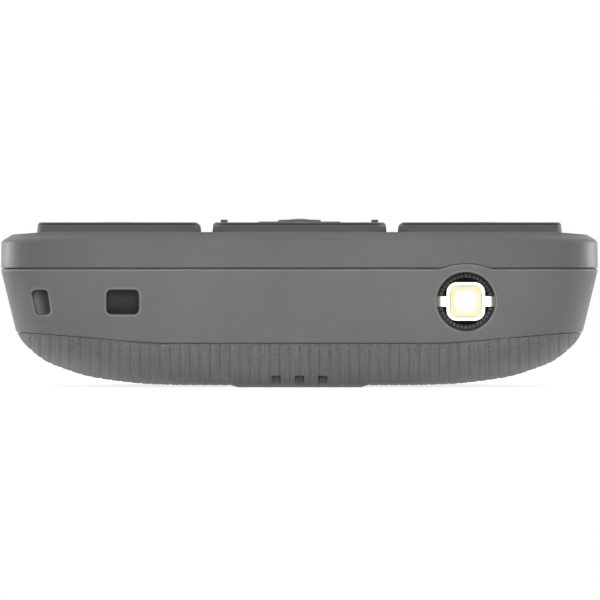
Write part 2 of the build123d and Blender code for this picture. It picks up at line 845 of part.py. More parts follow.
def make_middle_housing():
    """The leaning wall band with the battery bay's floor, wells and sockets."""
    shell = lower_body() - under_seam(0)
    shell -= plan_prism(upper_inset, board_z, housing_seam_z + overrun)
    shell -= plan_prism(lower_inset - board_ledge, bay_floor_top_z, board_z + overrun)
    shell -= plan_prism(lower_inset, -overrun, bay_floor_z)
    inside = plan_prism(upper_inset + seam_gap, cover_seam_mid_z, housing_seam_z)

    arch_room = plan_prism(0, housing_seam_z - seam_chamfer, face_z)
    arch = torch_arch(0, half_length - torch_arch_depth + seam_gap, half_length + overrun) & arch_room
    block_far = half_length - upper_inset
    torch_body = block(
        torch_x - torch_block_half,
        torch_x + torch_block_half,
        torch_block_bottom_y,
        block_far,
        torch_block_z,
        housing_seam_z - seam_gap,
    )
    strap_body = block(
        strap_block_inner_x,
        half_width,
        strap_block_near_y,
        block_far,
        strap_block_z,
        strap_block_top_z,
    )
    shell += arch
    shell += (torch_body + strap_body) & inside
    shell -= rod_y(torch_x, torch_z, torch_block_bottom_y + bay_wall, half_length + overrun, torch_bore_radius)

    low = strap_z - strap_height / 2
    high = strap_z + strap_height / 2
    inner_opening = Pos(strap_inner_x, strap_z) * RectangleRounded(
        strap_inner_width, strap_height, strap_radius
    )
    for opening in (inner_opening, leaning_opening(low, high)):
        channel = extrude(Plane.XZ * opening, amount=-(half_length + overrun))
        shell -= channel & block(0, half_width, strap_tunnel_near_y, half_length + overrun, low, high)
    shell -= block(
        strap_inner_x - strap_inner_width / 2,
        strap_tunnel_outer_x,
        strap_tunnel_near_y,
        strap_tunnel_far_y,
        low,
        high,
    )

    well_outer = well_half + well_wall
    tray = block(
        -well_outer,
        well_outer,
        well_bottom_y - well_wall,
        well_top_y + well_wall,
        well_plate_z,
        bay_floor_top_z,
    )
    shell += tray
    shell -= block(
        -well_half, well_half, well_bottom_y, well_top_y, well_plate_z + well_plate, bay_floor_top_z + overrun
    )
    for side in (-1, 1):
        center = side * (sim_inner_x + sim_width / 2)
        reach = sim_width / 2 - window_cut_margin
        shell -= block(
            center - reach,
            center + reach,
            sim_bottom_y + window_cut_margin,
            sim_bottom_y + sim_length - window_cut_margin,
            well_plate_z - overrun,
            well_plate_z + well_plate,
        )

    for side in (-1, 1):
        shell += block(
            side * bay_half,
            side * (bay_half + bay_wall),
            bay_bottom_y - bay_wall,
            bay_top_y + bay_wall,
            bay_wall_bottom_z,
            bay_floor_z,
        )
    for y, outward in ((bay_bottom_y, -1), (bay_top_y, 1)):
        shell += block(-bay_half, bay_half, y, y + outward * bay_wall, bay_wall_bottom_z, bay_floor_z)
    notch_half = connector_half + connector_gap
    shell -= block(
        -notch_half, notch_half, bay_top_y - overrun, bay_top_y + overrun, -overrun, bay_floor_z
    )

    frame_half = speaker_half + speaker_frame_gap
    frame_outer = frame_half + speaker_frame_wall
    frame_low_y = speaker_bottom_y - speaker_frame_gap
    frame_high_y = speaker_top_y + speaker_frame_gap
    seat_z = speaker_z + speaker_thickness
    shell += block(
        -frame_outer,
        frame_outer,
        frame_low_y - speaker_frame_wall,
        frame_high_y + speaker_frame_wall,
        speaker_z,
        bay_floor_z,
    )
    shell -= block(-frame_half, frame_half, frame_low_y, frame_high_y, speaker_z - overrun, seat_z)
    inner = frame_half - speaker_frame_wall
    shell -= block(
        -inner,
        inner,
        frame_low_y + speaker_frame_wall,
        frame_high_y - speaker_frame_wall,
        seat_z,
        bay_floor_z,
    )

    saddle_inset = speaker_frame_wall
    saddle = block(
        motor_start_x + saddle_inset,
        motor_start_x + motor_length - saddle_inset,
        motor_y - motor_radius - saddle_inset,
        motor_y + motor_radius + saddle_inset,
        motor_saddle_bottom_z,
        bay_floor_z,
    )
    saddle -= rod_x(
        motor_y, motor_z, motor_start_x, motor_start_x + motor_length, motor_radius + motor_saddle_gap
    )
    shell += saddle

    jack_reach = jack_half + jack_gap
    shell -= block(
        jack_x - jack_reach,
        jack_x + jack_reach,
        jack_mouth_y + jack_collar_length - jack_gap,
        jack_inner_y + jack_gap,
        jack_z - jack_reach,
        board_top_z + overrun,
    ) & plan_prism(lower_inset - overrun / 2, -overrun, board_top_z)
    shell -= rod_y(jack_x, jack_z, -half_length - overrun, jack_inner_y, jack_collar_radius + jack_gap)
    shell -= round_opening(usb_gap, -half_length - overrun, usb_mouth_y + usb_depth + usb_gap)
    shell -= block(
        -usb_half - usb_gap,
        usb_half + usb_gap,
        -half_length + lower_inset,
        usb_mouth_y + usb_depth + usb_gap,
        board_z - usb_height - usb_gap,
        board_z + overrun,
    )

    for x, y in screw_places:
        shell -= rod_z(x, y, -overrun, bay_floor_z, counterbore_radius)
        shell -= rod_z(x, y, bay_floor_z - seam_gap, bay_floor_top_z + seam_gap, screw_radius + screw_gap)
    return shell


def round_opening(gap, y0, y1):
    """The rounded outline of the charging socket, run along Y."""
    z = board_z - usb_height / 2
    plan = Pos(0, z) * RectangleRounded(2 * (usb_half + gap), usb_height + 2 * gap, usb_corner + gap)
    return Pos(0, y1, 0) * extrude(Plane.XZ * plan, amount=y1 - y0)


def pad_bar(near_y, far_y):
    """A bar with sloping lower sides, from which a pad is cut."""
    reach = pad_half + pad_slope
    top_z = cover_seam_mid_z / 2
    outline = Polyline(
        (-pad_half, 0),
        (-reach, pad_height),
        (-reach, top_z),
        (reach, top_z),
        (reach, pad_height),
        (pad_half, 0),
        (-pad_half, 0),
    )
    return Pos(0, far_y, 0) * extrude(Plane.XZ * make_face(outline.edges()), amount=far_y - near_y)


def make_rear_cover():
    """The bowl that closes the back: battery lid, speaker pad and clips in one."""
    outer = lower_body()
    cover = outer & under_seam(seam_gap)
    inner_levels = bowl_levels(cover_wall)
    top_side, top_end, top_corner, _ = inner_levels[-1]
    inner_levels.append((top_side, top_end, top_corner, shoulder_z + overrun))
    hollow = level_loft(inner_levels)
    cover -= hollow

    near_pad = pad_bar(pad_near_y, half_length - shoulder_inset)
    foot_pad = pad_bar(-foot_pad_far_y, foot_pad_length - foot_pad_far_y)
    for pad, inwards in ((near_pad, -pad_blend), (foot_pad, pad_blend)):
        cover += (pad & (Pos(0, inwards, -pad_height) * outer)) - hollow

    clip_outer = half_width - lower_inset - clip_gap
    clip_end = half_length - lower_inset - clip_gap
    for side in (-1, 1):
        for y in clip_places_y:
            cover += (
                block(
                    side * clip_outer,
                    side * (clip_outer - clip_thickness),
                    y - clip_length / 2,
                    y + clip_length / 2,
                    clip_root_z,
                    clip_top_z,
                )
                & outer
            )
        cover += (
            block(
                side * end_clip_place - end_clip_length / 2,
                side * end_clip_place + end_clip_length / 2,
                clip_end - clip_thickness,
                clip_end,
                clip_root_z,
                clip_top_z,
            )
            & outer
        )
    for column in (-1, 0, 1):
        for shift in (0, inner_hole_shift):
            cover -= round_block(
                column * hole_pitch - hole_width / 2,
                column * hole_pitch + hole_width / 2,
                hole_near_y + shift,
                hole_far_y + shift,
                -overrun,
                cover_seam_mid_z - cover_wall,
                hole_width / 4,
            )
    return cover


def display_pieces():
    """Window, its adhesive, the panel, the tray behind it and its flexible tail."""
    window = round_block(
        -window_half_width,
        window_half_width,
        window_bottom_y,
        window_top_y,
        window_z,
        window_top_z,
        window_corner_radius,
    )
    adhesive = round_block(
        -window_half_width,
        window_half_width,
        window_bottom_y,
        window_top_y,
        ledge_z,
        window_z,
        window_corner_radius,
    )
    adhesive -= round_block(
        -view_half_width,
        view_half_width,
        view_bottom_y,
        view_top_y,
        ledge_z - overrun,
        window_z + overrun,
        window_corner_radius,
    )
    tray_z = board_top_z + module_gap
    module_top_z = display_roof_z - module_gap
    panel_z = module_top_z - panel_thickness
    tray = block(-panel_half_width, panel_half_width, module_bottom_y, module_top_y, tray_z, panel_z)
    panel = block(
        -panel_half_width + panel_inset,
        panel_half_width - panel_inset,
        module_bottom_y + panel_inset,
        module_top_y - panel_inset,
        panel_z,
        module_top_z,
    )
    drop_y = module_bottom_y - flex_reach
    top_z = board_top_z + 2 * flex_thickness
    low_z = board_z - flex_slot_gap
    flex = block(-flex_half_width, flex_half_width, drop_y, module_bottom_y, top_z, top_z + flex_thickness)
    flex += block(
        -flex_half_width, flex_half_width, drop_y, drop_y + flex_thickness, low_z, top_z + flex_thickness
    )
    flex += block(
        -flex_half_width, flex_half_width, drop_y, drop_y + flex_tail, low_z, low_z + flex_thickness
    )
    return {
        "display_window": window,
        "window_adhesive": adhesive,
        "display_tray": tray,
        "display_panel": panel,
        "display_flex": flex,
    }


def make_board():
    """The main board, notched for the screw bosses, the sockets and the upper end."""
    reach = half_length
    board = plan_prism(upper_inset + board_side_gap, board_z, board_top_z)
    board &= block(-reach, reach, board_bottom_y, board_top_y, board_z, board_top_z)
    board += block(
        -board_tongue_half,
        board_tongue_half,
        board_top_y - overrun,
        board_tongue_y,
        board_z,
        board_top_z,
    )
    for x, y in screw_places:
        board -= rod_z(x, y, board_z - overrun, board_top_z + overrun, board_notch_radius)
    jack_reach = jack_half + jack_gap
    board -= block(
        jack_x - jack_reach,
        jack_x + jack_reach,
        -reach,
        jack_inner_y + jack_gap,
        board_z - overrun,
        board_top_z + overrun,
    )
    slot_y = module_bottom_y - flex_reach - flex_slot_gap
    board -= block(
        -flex_half_width - flex_slot_gap,
        flex_half_width + flex_slot_gap,
        slot_y,
        slot_y + flex_thickness + 2 * flex_slot_gap,
        board_z - overrun,
        board_top_z + overrun,
    )
    return board


def keypad_pieces():
    """Silicone mat with a hole over every dome, and the domes on the board."""
    lowest_y = first_row_y - (len(digit_names) - 1) * row_pitch - key_length / 2
    mat = round_block(
        -mat_half_width,
        mat_half_width,
        lowest_y - mat_margin,
        soft_key_top_y + mat_margin,
        board_top_z,
        mat_top_z,
        mat_radius,
    )
    places = [(x, y, mat_hole_radius, dome_radius) for x, y, _, _ in plain_keys().values()]
    places.append((0, nav_center_y, mat_hole_radius, dome_radius))
    places += [(x, y, nav_mat_hole_radius, nav_dome_radius) for x, y in nav_plungers]
    domes = []
    for x, y, hole, dome in places:
        mat -= rod_z(x, y, board_top_z - overrun, mat_top_z + overrun, hole)
        domes.append(Pos(x, y, board_top_z + dome_height / 2) * Cone(dome, dome_crown_radius, dome_height))
    return {"key_mat": mat, "key_domes": Compound(children=[d.solid() for d in domes])}


def sound_pieces():
    """Earpiece, loudspeaker and microphone, each with its seal."""
    receiver_z = board_top_z + receiver_gap
    receiver_top = display_roof_z - receiver_gasket
    receiver = round_block(
        -receiver_half,
        receiver_half,
        ear_y - receiver_depth / 2,
        ear_y + receiver_depth / 2,
        receiver_z,
        receiver_top,
        receiver_depth / 4,
    )
    seal = round_block(
        -receiver_half,
        receiver_half,
        ear_y - receiver_depth / 2,
        ear_y + receiver_depth / 2,
        receiver_top,
        display_roof_z,
        receiver_depth / 4,
    )
    seal -= extrude(
        Pos(0, ear_y, receiver_top - overrun) * SlotOverall(2 * ear_slot_half, receiver_depth / 2),
        amount=2 * overrun,
    )
    mesh_top = face_z - ear_mesh_sink
    mesh_plan = SlotOverall(2 * (ear_slot_half + ear_mesh_margin), ear_slot_width + 2 * ear_mesh_margin)
    mesh = extrude(Pos(0, ear_y, mesh_top - ear_mesh_thickness) * mesh_plan, amount=ear_mesh_thickness)

    speaker = round_block(
        -speaker_half,
        speaker_half,
        speaker_bottom_y,
        speaker_top_y,
        speaker_z,
        speaker_z + speaker_thickness,
        speaker_radius,
    )
    port_inset = speaker_gasket_width + speaker_port_recess
    speaker -= round_block(
        -speaker_half + port_inset,
        speaker_half - port_inset,
        speaker_bottom_y + port_inset,
        speaker_top_y - port_inset,
        speaker_z - overrun,
        speaker_z + speaker_port_recess,
        speaker_radius / 2,
    )
    ring = round_block(
        -speaker_half,
        speaker_half,
        speaker_bottom_y,
        speaker_top_y,
        speaker_z - speaker_gasket,
        speaker_z,
        speaker_radius,
    )
    ring -= round_block(
        -speaker_half + speaker_gasket_width,
        speaker_half - speaker_gasket_width,
        speaker_bottom_y + speaker_gasket_width,
        speaker_top_y - speaker_gasket_width,
        speaker_z - overrun,
        speaker_z + overrun,
        speaker_radius / 2,
    )
    mic_top = board_top_z + mic_thickness
    mic_low_y = mic_y - mic_depth / 2
    microphone = block(-mic_half, mic_half, mic_low_y, mic_y + mic_depth / 2, board_top_z, mic_top)
    boot = rod_z(0, mic_face_y, mic_top, keypad_roof_z - mic_boot_wall_gap, mic_boot_radius)
    boot -= rod_z(0, mic_face_y, mic_top - overrun, keypad_roof_z + overrun, mic_hole_radius)
    return {
        "earpiece_receiver": receiver,
        "earpiece_seal": seal,
        "earpiece_mesh": mesh,
        "loudspeaker": speaker,
        "loudspeaker_seal": ring,
        "microphone": microphone,
        "microphone_boot": boot,
    }


def torch_pieces():
    """Lamp, its glowing pad, knurled bezel ring, round board and two spring leads."""
    front = torch_front_y
    back = torch_board_front_y
    bezel = rod_y(torch_x, torch_z, back, front, torch_bore_radius - bezel_gap)
    bezel -= rod_y(torch_x, torch_z, back - overrun, front + overrun, bezel_inner_radius)
    tab_half = led_tab_height / 2
    bezel -= block(
        torch_x - torch_bore_radius,
        torch_x + torch_bore_radius,
        led_front_y - led_tab_depth - led_tab_gap,
        front + overrun,
        torch_z - tab_half - led_tab_gap,
        torch_z + tab_half + led_tab_gap,
    )

    def square(half, radius, y0, y1):
        plan = Pos(torch_x, torch_z) * RectangleRounded(2 * half, 2 * half, radius)
        return Pos(0, y1, 0) * extrude(Plane.XZ * plan, amount=y1 - y0)

    led = square(led_half, led_radius, back, led_front_y)
    led += block(
        torch_x - led_tab_reach,
        torch_x + led_tab_reach,
        led_front_y - led_tab_depth,
        led_front_y,
        torch_z - tab_half,
        torch_z + tab_half,
    )
    led -= square(emitter_half, emitter_radius, led_front_y - emitter_depth, led_front_y + overrun)
    emitter = square(emitter_half, emitter_radius, led_front_y - emitter_depth, led_front_y - emitter_crown)
    disc = rod_y(torch_x, torch_z, back - torch_board_thickness, back, torch_bore_radius - bezel_gap)
    leads = []
    lead_back = torch_block_bottom_y + bay_wall
    lead_front = back - torch_board_thickness
    for side in (-1, 1):
        x = torch_x + side * torch_spring_place
        leads.append(
            block(
                x - torch_spring_width / 2,
                x + torch_spring_width / 2,
                lead_back,
                lead_front,
                torch_z - torch_spring_thickness / 2,
                torch_z + torch_spring_thickness / 2,
            ).solid()
        )
    return {
        "torch_bezel": bezel,
        "torch_led": led,
        "torch_emitter": emitter,
        "torch_board": disc,
        "torch_leads": Compound(children=leads),
    }


def motor_pieces():
    """Vibration motor with a running bore, and the half-round weight on its shaft."""
    end_x = motor_start_x + motor_length
    body = rod_x(motor_y, motor_z, motor_start_x, end_x, motor_radius)
    body -= rod_x(motor_y, motor_z, end_x - motor_bore_depth, end_x + overrun, motor_bore_radius)
    start = end_x + weight_gap
    stop = start + weight_length
    disc = rod_x(motor_y, motor_z, start, stop, weight_radius)
    reach = weight_radius + overrun
    half = disc & block(start, stop, motor_y - reach, motor_y + reach, motor_z - reach, motor_z)
    hub = rod_x(motor_y, motor_z, start, stop, weight_hub_radius)
    shaft_start = end_x - motor_bore_depth + weight_gap
    shaft = rod_x(motor_y, motor_z, shaft_start, stop, weight_shaft_radius)
    return {"vibration_motor": body, "vibration_weight": half + hub + shaft}


def battery_pieces():
    """Removable battery with its blank label."""
    half = battery_width / 2
    low_y = battery_center_y - battery_length / 2
    high_y = battery_center_y + battery_length / 2
    cell = block(-half, half, low_y, high_y, battery_bottom_z, battery_top_z)
    cell = fillet(cell.edges().filter_by(Axis.Y), battery_edge_radius)
    label = block(
        -half + label_margin,
        half - label_margin,
        low_y + label_margin,
        high_y - label_margin,
        battery_bottom_z - label_thickness,
        battery_bottom_z,
    )
    return {"battery": cell, "battery_label": label}


def connector_pieces():
    """Battery connector: a plastic block and three blades that meet the battery."""
    high_y = battery_center_y + battery_length / 2
    face_y = bay_top_y + bay_wall / 2
    body = block(
        -connector_half,
        connector_half,
        face_y,
        face_y + connector_depth,
        connector_bottom_z,
        bay_floor_z - connector_gap,
    )
    mid_z = (battery_bottom_z + battery_top_z) / 2
    blades = []
    for column in (-1, 0, 1):
        x = column * contact_pitch
        blades.append(
            block(
                x - contact_width / 2,
                x + contact_width / 2,
                high_y + contact_gap,
                face_y,
                mid_z - contact_thickness / 2,
                mid_z + contact_thickness / 2,
            ).solid()
        )
    return {"battery_connector": body, "battery_contacts": Compound(children=blades)}


def metal_box(x0, x1, y0, y1, open_end):
    """A folded metal shell under the board, open at its lower end where a card goes in."""
    low = board_z - holder_height
    wall = holder_shell
    shell = block(x0, x1, y0, y1, low, board_z)
    start = y0 - overrun if open_end else y0 + wall
    return shell - block(x0 + wall, x1 - wall, start, y1 - wall, low + wall, board_z - wall / 2)


def board_pieces():
    """Card holders and the shielding can that hang below the board."""
    sims = []
    for side in (-1, 1):
        center = side * (sim_inner_x + sim_width / 2)
        x0 = center - sim_width / 2
        sims.append(metal_box(x0, x0 + sim_width, sim_bottom_y, sim_bottom_y + sim_length, True).solid())
    card_right = card_left_x + card_width
    card = metal_box(card_left_x, card_right, card_bottom_y, card_bottom_y + card_length, True)
    can = metal_box(can_left_x, can_right_x, can_bottom_y, can_top_y, False)
    return {"sim_holders": Compound(children=sims), "memory_card_holder": card, "shield_can": can}


def make_jack():
    """The round headphone socket with its collar in the lower end."""
    collar_back = jack_mouth_y + jack_collar_length
    body = block(
        jack_x - jack_half,
        jack_x + jack_half,
        collar_back,
        jack_inner_y,
        jack_z - jack_half,
        min(jack_z + jack_half, board_top_z - seam_gap),
    )
    body += rod_y(jack_x, jack_z, jack_mouth_y, collar_back, jack_collar_radius)
    return body - rod_y(jack_x, jack_z, -half_length - overrun, jack_inner_y - jack_back_wall, jack_bore_radius)


def make_usb():
    """The charging socket: a rounded metal shell with a tongue inside."""
    back = usb_mouth_y + usb_depth
    shell = round_opening(0, usb_mouth_y, back)
    z = board_z - usb_height / 2
    plan = Pos(0, z) * RectangleRounded(
        2 * (usb_half - usb_shell), usb_height - 2 * usb_shell, usb_corner - usb_shell
    )
    cavity_back = back - usb_shell
    cavity = Pos(0, cavity_back, 0) * extrude(Plane.XZ * plan, amount=usb_depth + overrun)
    tongue = block(
        -usb_tongue_half,
        usb_tongue_half,
        usb_mouth_y + usb_shell,
        cavity_back,
        z - usb_tongue_thickness / 2,
        z + usb_tongue_thickness / 2,
    )
    return shell - cavity + tongue


def antenna_pieces():
    """Plastic carrier over the sockets, with the folded antenna sheet on it."""
    top = carrier_z + carrier_plate
    carrier = block(-carrier_half, carrier_half, carrier_far_y, carrier_near_y, carrier_z, top)
    for side in (-1, 1):
        outer = side * (carrier_half - carrier_post_inset)
        inner = side * (carrier_half - carrier_post_inset - carrier_post)
        y1 = carrier_near_y - carrier_post_inset
        if side > 0:
            outer = jack_x - jack_half - carrier_post_inset
            inner = outer - carrier_post
        carrier += block(outer, inner, y1 - carrier_post, y1, top, bay_floor_z)
    sheet = block(
        -carrier_half + antenna_margin,
        carrier_half - antenna_margin,
        carrier_far_y + antenna_margin,
        carrier_near_y - antenna_margin,
        carrier_z - antenna_sheet,
        carrier_z,
    )
    for column in (-1, 0, 1):
        x = column * antenna_slit_place
        edge = carrier_near_y if column else carrier_far_y
        far = edge - antenna_slit_length if column else edge + antenna_slit_length
        sheet -= block(
            x - antenna_slit / 2, x + antenna_slit / 2, edge, far, carrier_z - overrun, carrier_z + overrun
        )
    return {"antenna_carrier": carrier, "antenna": sheet}


def make_screws():
    """Six case screws with cross slots, driven from the back."""
    screws = []
    for x, y in screw_places:
        head_z = bay_floor_z - screw_head_height
        screw = rod_z(x, y, head_z, bay_floor_z, screw_head_radius)
        screw += rod_z(x, y, bay_floor_z, bay_floor_z + screw_length - screw_gap, screw_radius)
        reach = screw_head_radius / 2 + screw_slot_width
        half_slot = screw_slot_width / 2
        slot_top = head_z + screw_slot_depth
        screw -= block(x - reach, x + reach, y - half_slot, y + half_slot, head_z - overrun, slot_top)
        screw -= block(x - half_slot, x + half_slot, y - reach, y + reach, head_z - overrun, slot_top)
        screws.append(screw.solid())
    return Compound(children=screws)


def make_parts():
    """Every piece of the phone by name."""
    parts = {
        "front_housing": make_front_housing(),
        "middle_housing": make_middle_housing(),
        "rear_cover": make_rear_cover(),
        "main_board": make_board(),
        "headphone_socket": make_jack(),
        "charging_socket": make_usb(),
        "case_screws": make_screws(),
        "key_navigation": make_nav_key(),
        "key_select": make_select_key(),
    }
    for name, place in plain_keys().items():
        parts[name] = make_key(*place)
    five_x, five_y, _, _ = plain_keys()["key_5"]
    parts["key_5"] += raised_point(five_x, five_y, five_point_radius, five_point_height, five_point_ball)
    for group in (
        display_pieces,
        keypad_pieces,
        sound_pieces,
        torch_pieces,
        motor_pieces,
        battery_pieces,
        connector_pieces,
        board_pieces,
        antenna_pieces,
    ):
        parts.update(group())
    return parts


os.makedirs("parts", exist_ok=True)
for name, shape in make_parts().items():
    export_step(shape, "parts/" + name + ".step")
    print(name, round(shape.volume, 2))
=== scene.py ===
# %% [markdown]
# # A feature phone, seen on its upper end
#
# The phone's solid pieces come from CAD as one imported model. Blender leaves them where they are
# and gives them their looks: moulded grey plastic, fine ribs, printed keys, a knurled torch ring.
# Every cell below adds one piece or one finish, and prints what it made.

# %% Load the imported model
import math

import bmesh
import bpy
import numpy as np
from mathutils import Matrix, Vector


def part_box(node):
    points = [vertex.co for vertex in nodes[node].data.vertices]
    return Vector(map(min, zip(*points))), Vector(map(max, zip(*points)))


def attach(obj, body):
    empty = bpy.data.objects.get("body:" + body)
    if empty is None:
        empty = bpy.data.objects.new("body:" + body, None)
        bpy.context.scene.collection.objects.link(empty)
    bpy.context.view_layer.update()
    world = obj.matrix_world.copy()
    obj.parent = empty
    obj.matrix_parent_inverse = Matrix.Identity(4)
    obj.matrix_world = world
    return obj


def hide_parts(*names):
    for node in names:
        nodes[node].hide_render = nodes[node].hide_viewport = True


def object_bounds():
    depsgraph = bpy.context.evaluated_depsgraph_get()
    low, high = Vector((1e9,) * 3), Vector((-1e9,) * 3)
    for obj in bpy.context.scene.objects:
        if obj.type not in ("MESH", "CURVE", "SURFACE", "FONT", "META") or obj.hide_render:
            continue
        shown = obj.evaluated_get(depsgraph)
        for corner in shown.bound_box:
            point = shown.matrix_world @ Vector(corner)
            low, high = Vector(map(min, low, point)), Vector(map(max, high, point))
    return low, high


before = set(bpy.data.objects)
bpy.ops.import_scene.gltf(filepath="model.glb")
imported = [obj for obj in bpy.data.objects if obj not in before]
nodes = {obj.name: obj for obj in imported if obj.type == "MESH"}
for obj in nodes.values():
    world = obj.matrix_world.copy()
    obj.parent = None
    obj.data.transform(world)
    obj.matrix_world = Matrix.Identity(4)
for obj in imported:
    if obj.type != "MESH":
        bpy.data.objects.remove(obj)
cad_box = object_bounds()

MM = 0.001
print("CAD box in mm:", [round((b - a) / MM, 2) for a, b in zip(*cad_box)])

# %% [markdown]
# ## The camera
#
# The photograph looks straight at the upper end from far away, so little shrinks with distance.
# A camera with a very long lens, more than two metres off, does the same. It still is a normal
# perspective camera, so other views of the phone can move it by themselves.

# %% Camera
scene = bpy.context.scene
view_width = 50.09 * MM
view_middle_x, view_middle_z = -0.046 * MM, 7.321 * MM
upper_end_y = cad_box[1].y
camera_data = bpy.data.cameras.new("camera")
camera_data.lens = 1700
camera_data.sensor_width = 36
camera = bpy.data.objects.new("camera", camera_data)
scene.collection.objects.link(camera)
distance = view_width * camera_data.lens / camera_data.sensor_width
camera.location = (view_middle_x, upper_end_y + distance, view_middle_z)
camera.rotation_euler = (math.pi / 2, 0, math.pi)
camera_data.clip_start = 0.1
camera_data.clip_end = 10
scene.camera = camera
scene.view_settings.view_transform = "Standard"
print("camera is", round(distance, 2), "m away")

# %% [markdown]
# ## Sums on sockets
#
# A procedural material is a sum of small steps. Wiring every Math node by hand hides the idea,
# so this class wraps one socket: `mask * 0.5 + 1` then adds the Math nodes by itself. It serves
# material trees and Geometry Nodes trees alike. A sign works with a wire on either side.


# %% Wrap a socket
def either_side(operation):
    """Two methods for a sign of arithmetic: for a wire on its left, and on its right."""
    return (
        lambda wire, other: wire.math(operation, wire, other),
        lambda wire, other: wire.math(operation, other, wire),
    )


class Wire:
    """One output socket of a node tree, ready for sums."""

    __add__, __radd__ = either_side("ADD")
    __sub__, __rsub__ = either_side("SUBTRACT")
    __mul__, __rmul__ = either_side("MULTIPLY")
    __truediv__, __rtruediv__ = either_side("DIVIDE")
    __pow__, __rpow__ = either_side("POWER")

    def __init__(self, tree, socket):
        self.tree, self.socket = tree, socket

    def math(self, operation, *values, clamp=False):
        node = self.tree.nodes.new("ShaderNodeMath")
        node.operation = operation
        node.use_clamp = clamp
        for slot, value in zip(node.inputs, values):
            plug(self.tree, value, slot)
        return Wire(self.tree, node.outputs[0])

    def __neg__(self):
        return self.math("MULTIPLY", self, -1)

    def __abs__(self):
        return self.math("ABSOLUTE", self)

    def repeat(self, length):
        """Distance to the nearest whole multiple of a length."""
        return abs(self - self.math("ROUND", self / length) * length)

    def step(self, low, high):
        """Rises smoothly from 0 at low to 1 at high. Low may be the larger of the two."""
        share = self.math("DIVIDE", self - low, high - low, clamp=True)
        return share * share * (3 - 2 * share)

    def at_most(self, other):
        return self.math("MINIMUM", self, other)

    def at_least(self, other):
        return self.math("MAXIMUM", self, other)


def plug(tree, value, slot):
    """Links a wire to a socket, or writes a plain value into it."""
    if isinstance(value, Wire):
        tree.links.new(value.socket, slot)
    elif value is not None:
        slot.default_value = value


def add_node(tree, kind, sockets=None, out=0, **settings):
    """Any node: its type, what its sockets get, the number of its output, and its settings."""
    node = tree.nodes.new(kind)
    for name, value in settings.items():
        setattr(node, name, value)
    for name, value in (sockets or {}).items():
        plug(tree, value, node.inputs[name])
    return Wire(tree, node.outputs[out])


print("wires add, subtract, multiply and divide")

# %% [markdown]
# ## A finish
#
# Each surface of the phone has a finish of its own. What all of them share is a Principled
# shader, and coordinates in millimetres, so a rib or a grain can be written at its real size.


# %% One class for all finishes
finishes = {}


class Finish:
    """A material with a Principled shader and helpers for what varies over it."""

    def __init__(self, name, **plain):
        finishes[name] = self
        self.material = bpy.data.materials.new(name)
        self.material.use_nodes = True
        self.tree = self.material.node_tree
        self.shader = self.tree.nodes["Principled BSDF"]
        for key, value in plain.items():
            self.shader.inputs[key.replace("_", " ")].default_value = value
        place = self.node("ShaderNodeTexCoord", out=3)
        self.mm = self.node("ShaderNodeVectorMath", {0: place, "Scale": 1 / MM}, operation="SCALE")
        split = self.node("ShaderNodeSeparateXYZ", {0: self.mm}).socket.node
        self.x, self.y, self.z = (Wire(self.tree, split.outputs[axis]) for axis in range(3))

    def node(self, kind, sockets=None, out=0, **settings):
        return add_node(self.tree, kind, sockets, out, **settings)

    def noise(self, size, detail=3.0, stretch=None):
        """Soft noise between 0 and 1 whose patches are about so many millimetres wide."""
        place = self.mm
        if stretch:
            sockets = {0: place, 1: stretch}
            place = self.node("ShaderNodeVectorMath", sockets, operation="MULTIPLY")
        sockets = {"Vector": place, "Scale": 1 / size, "Detail": detail, "Roughness": 0.55}
        return self.node("ShaderNodeTexNoise", sockets)

    def blend(self, share, first, second):
        """A colour between two colours, each a wire or three numbers."""
        first, second = (c if isinstance(c, Wire) else (*c, 1) for c in (first, second))
        sockets = {0: share, 6: first, 7: second}
        return self.node("ShaderNodeMix", sockets, 2, data_type="RGBA")

    def set(self, name, wire):
        plug(self.tree, wire, self.shader.inputs[name])

    def fed(self, name):
        """The wire that already feeds a socket of the shader."""
        return Wire(self.tree, self.shader.inputs[name].links[0].from_socket)

    def paint(self, share, first, second):
        """The base colour, between two colours."""
        self.set("Base Color", self.blend(share, first, second))

    def paint_over(self, share, colour):
        """Another colour over the base colour so far, where the share is 1."""
        self.paint(share, self.fed("Base Color"), colour)

    def second_shader(self, share, **plain):
        """A second shader with plain values. It shows where the share is 1."""
        second = self.node("ShaderNodeBsdfPrincipled")
        for key, value in plain.items():
            second.socket.node.inputs[key.replace("_", " ")].default_value = value
        first = Wire(self.tree, self.shader.outputs[0])
        mix = self.node("ShaderNodeMixShader", {0: share, 1: first, 2: second})
        plug(self.tree, mix, self.tree.nodes["Material Output"].inputs["Surface"])

    def relief(self, height, depth, under=None):
        """Bumps of a height field, whose full range is so many millimetres deep."""
        sockets = {"Height": height, "Distance": depth * MM, "Strength": 1.0, "Normal": under}
        self.set("Normal", self.node("ShaderNodeBump", sockets))

    def soft_edges(self, radius):
        """Normals as if each sharp edge were rounded by a radius in millimetres."""
        return self.node("ShaderNodeBevel", {"Radius": radius * MM}, samples=4)


print("finishes read the object's own millimetres")
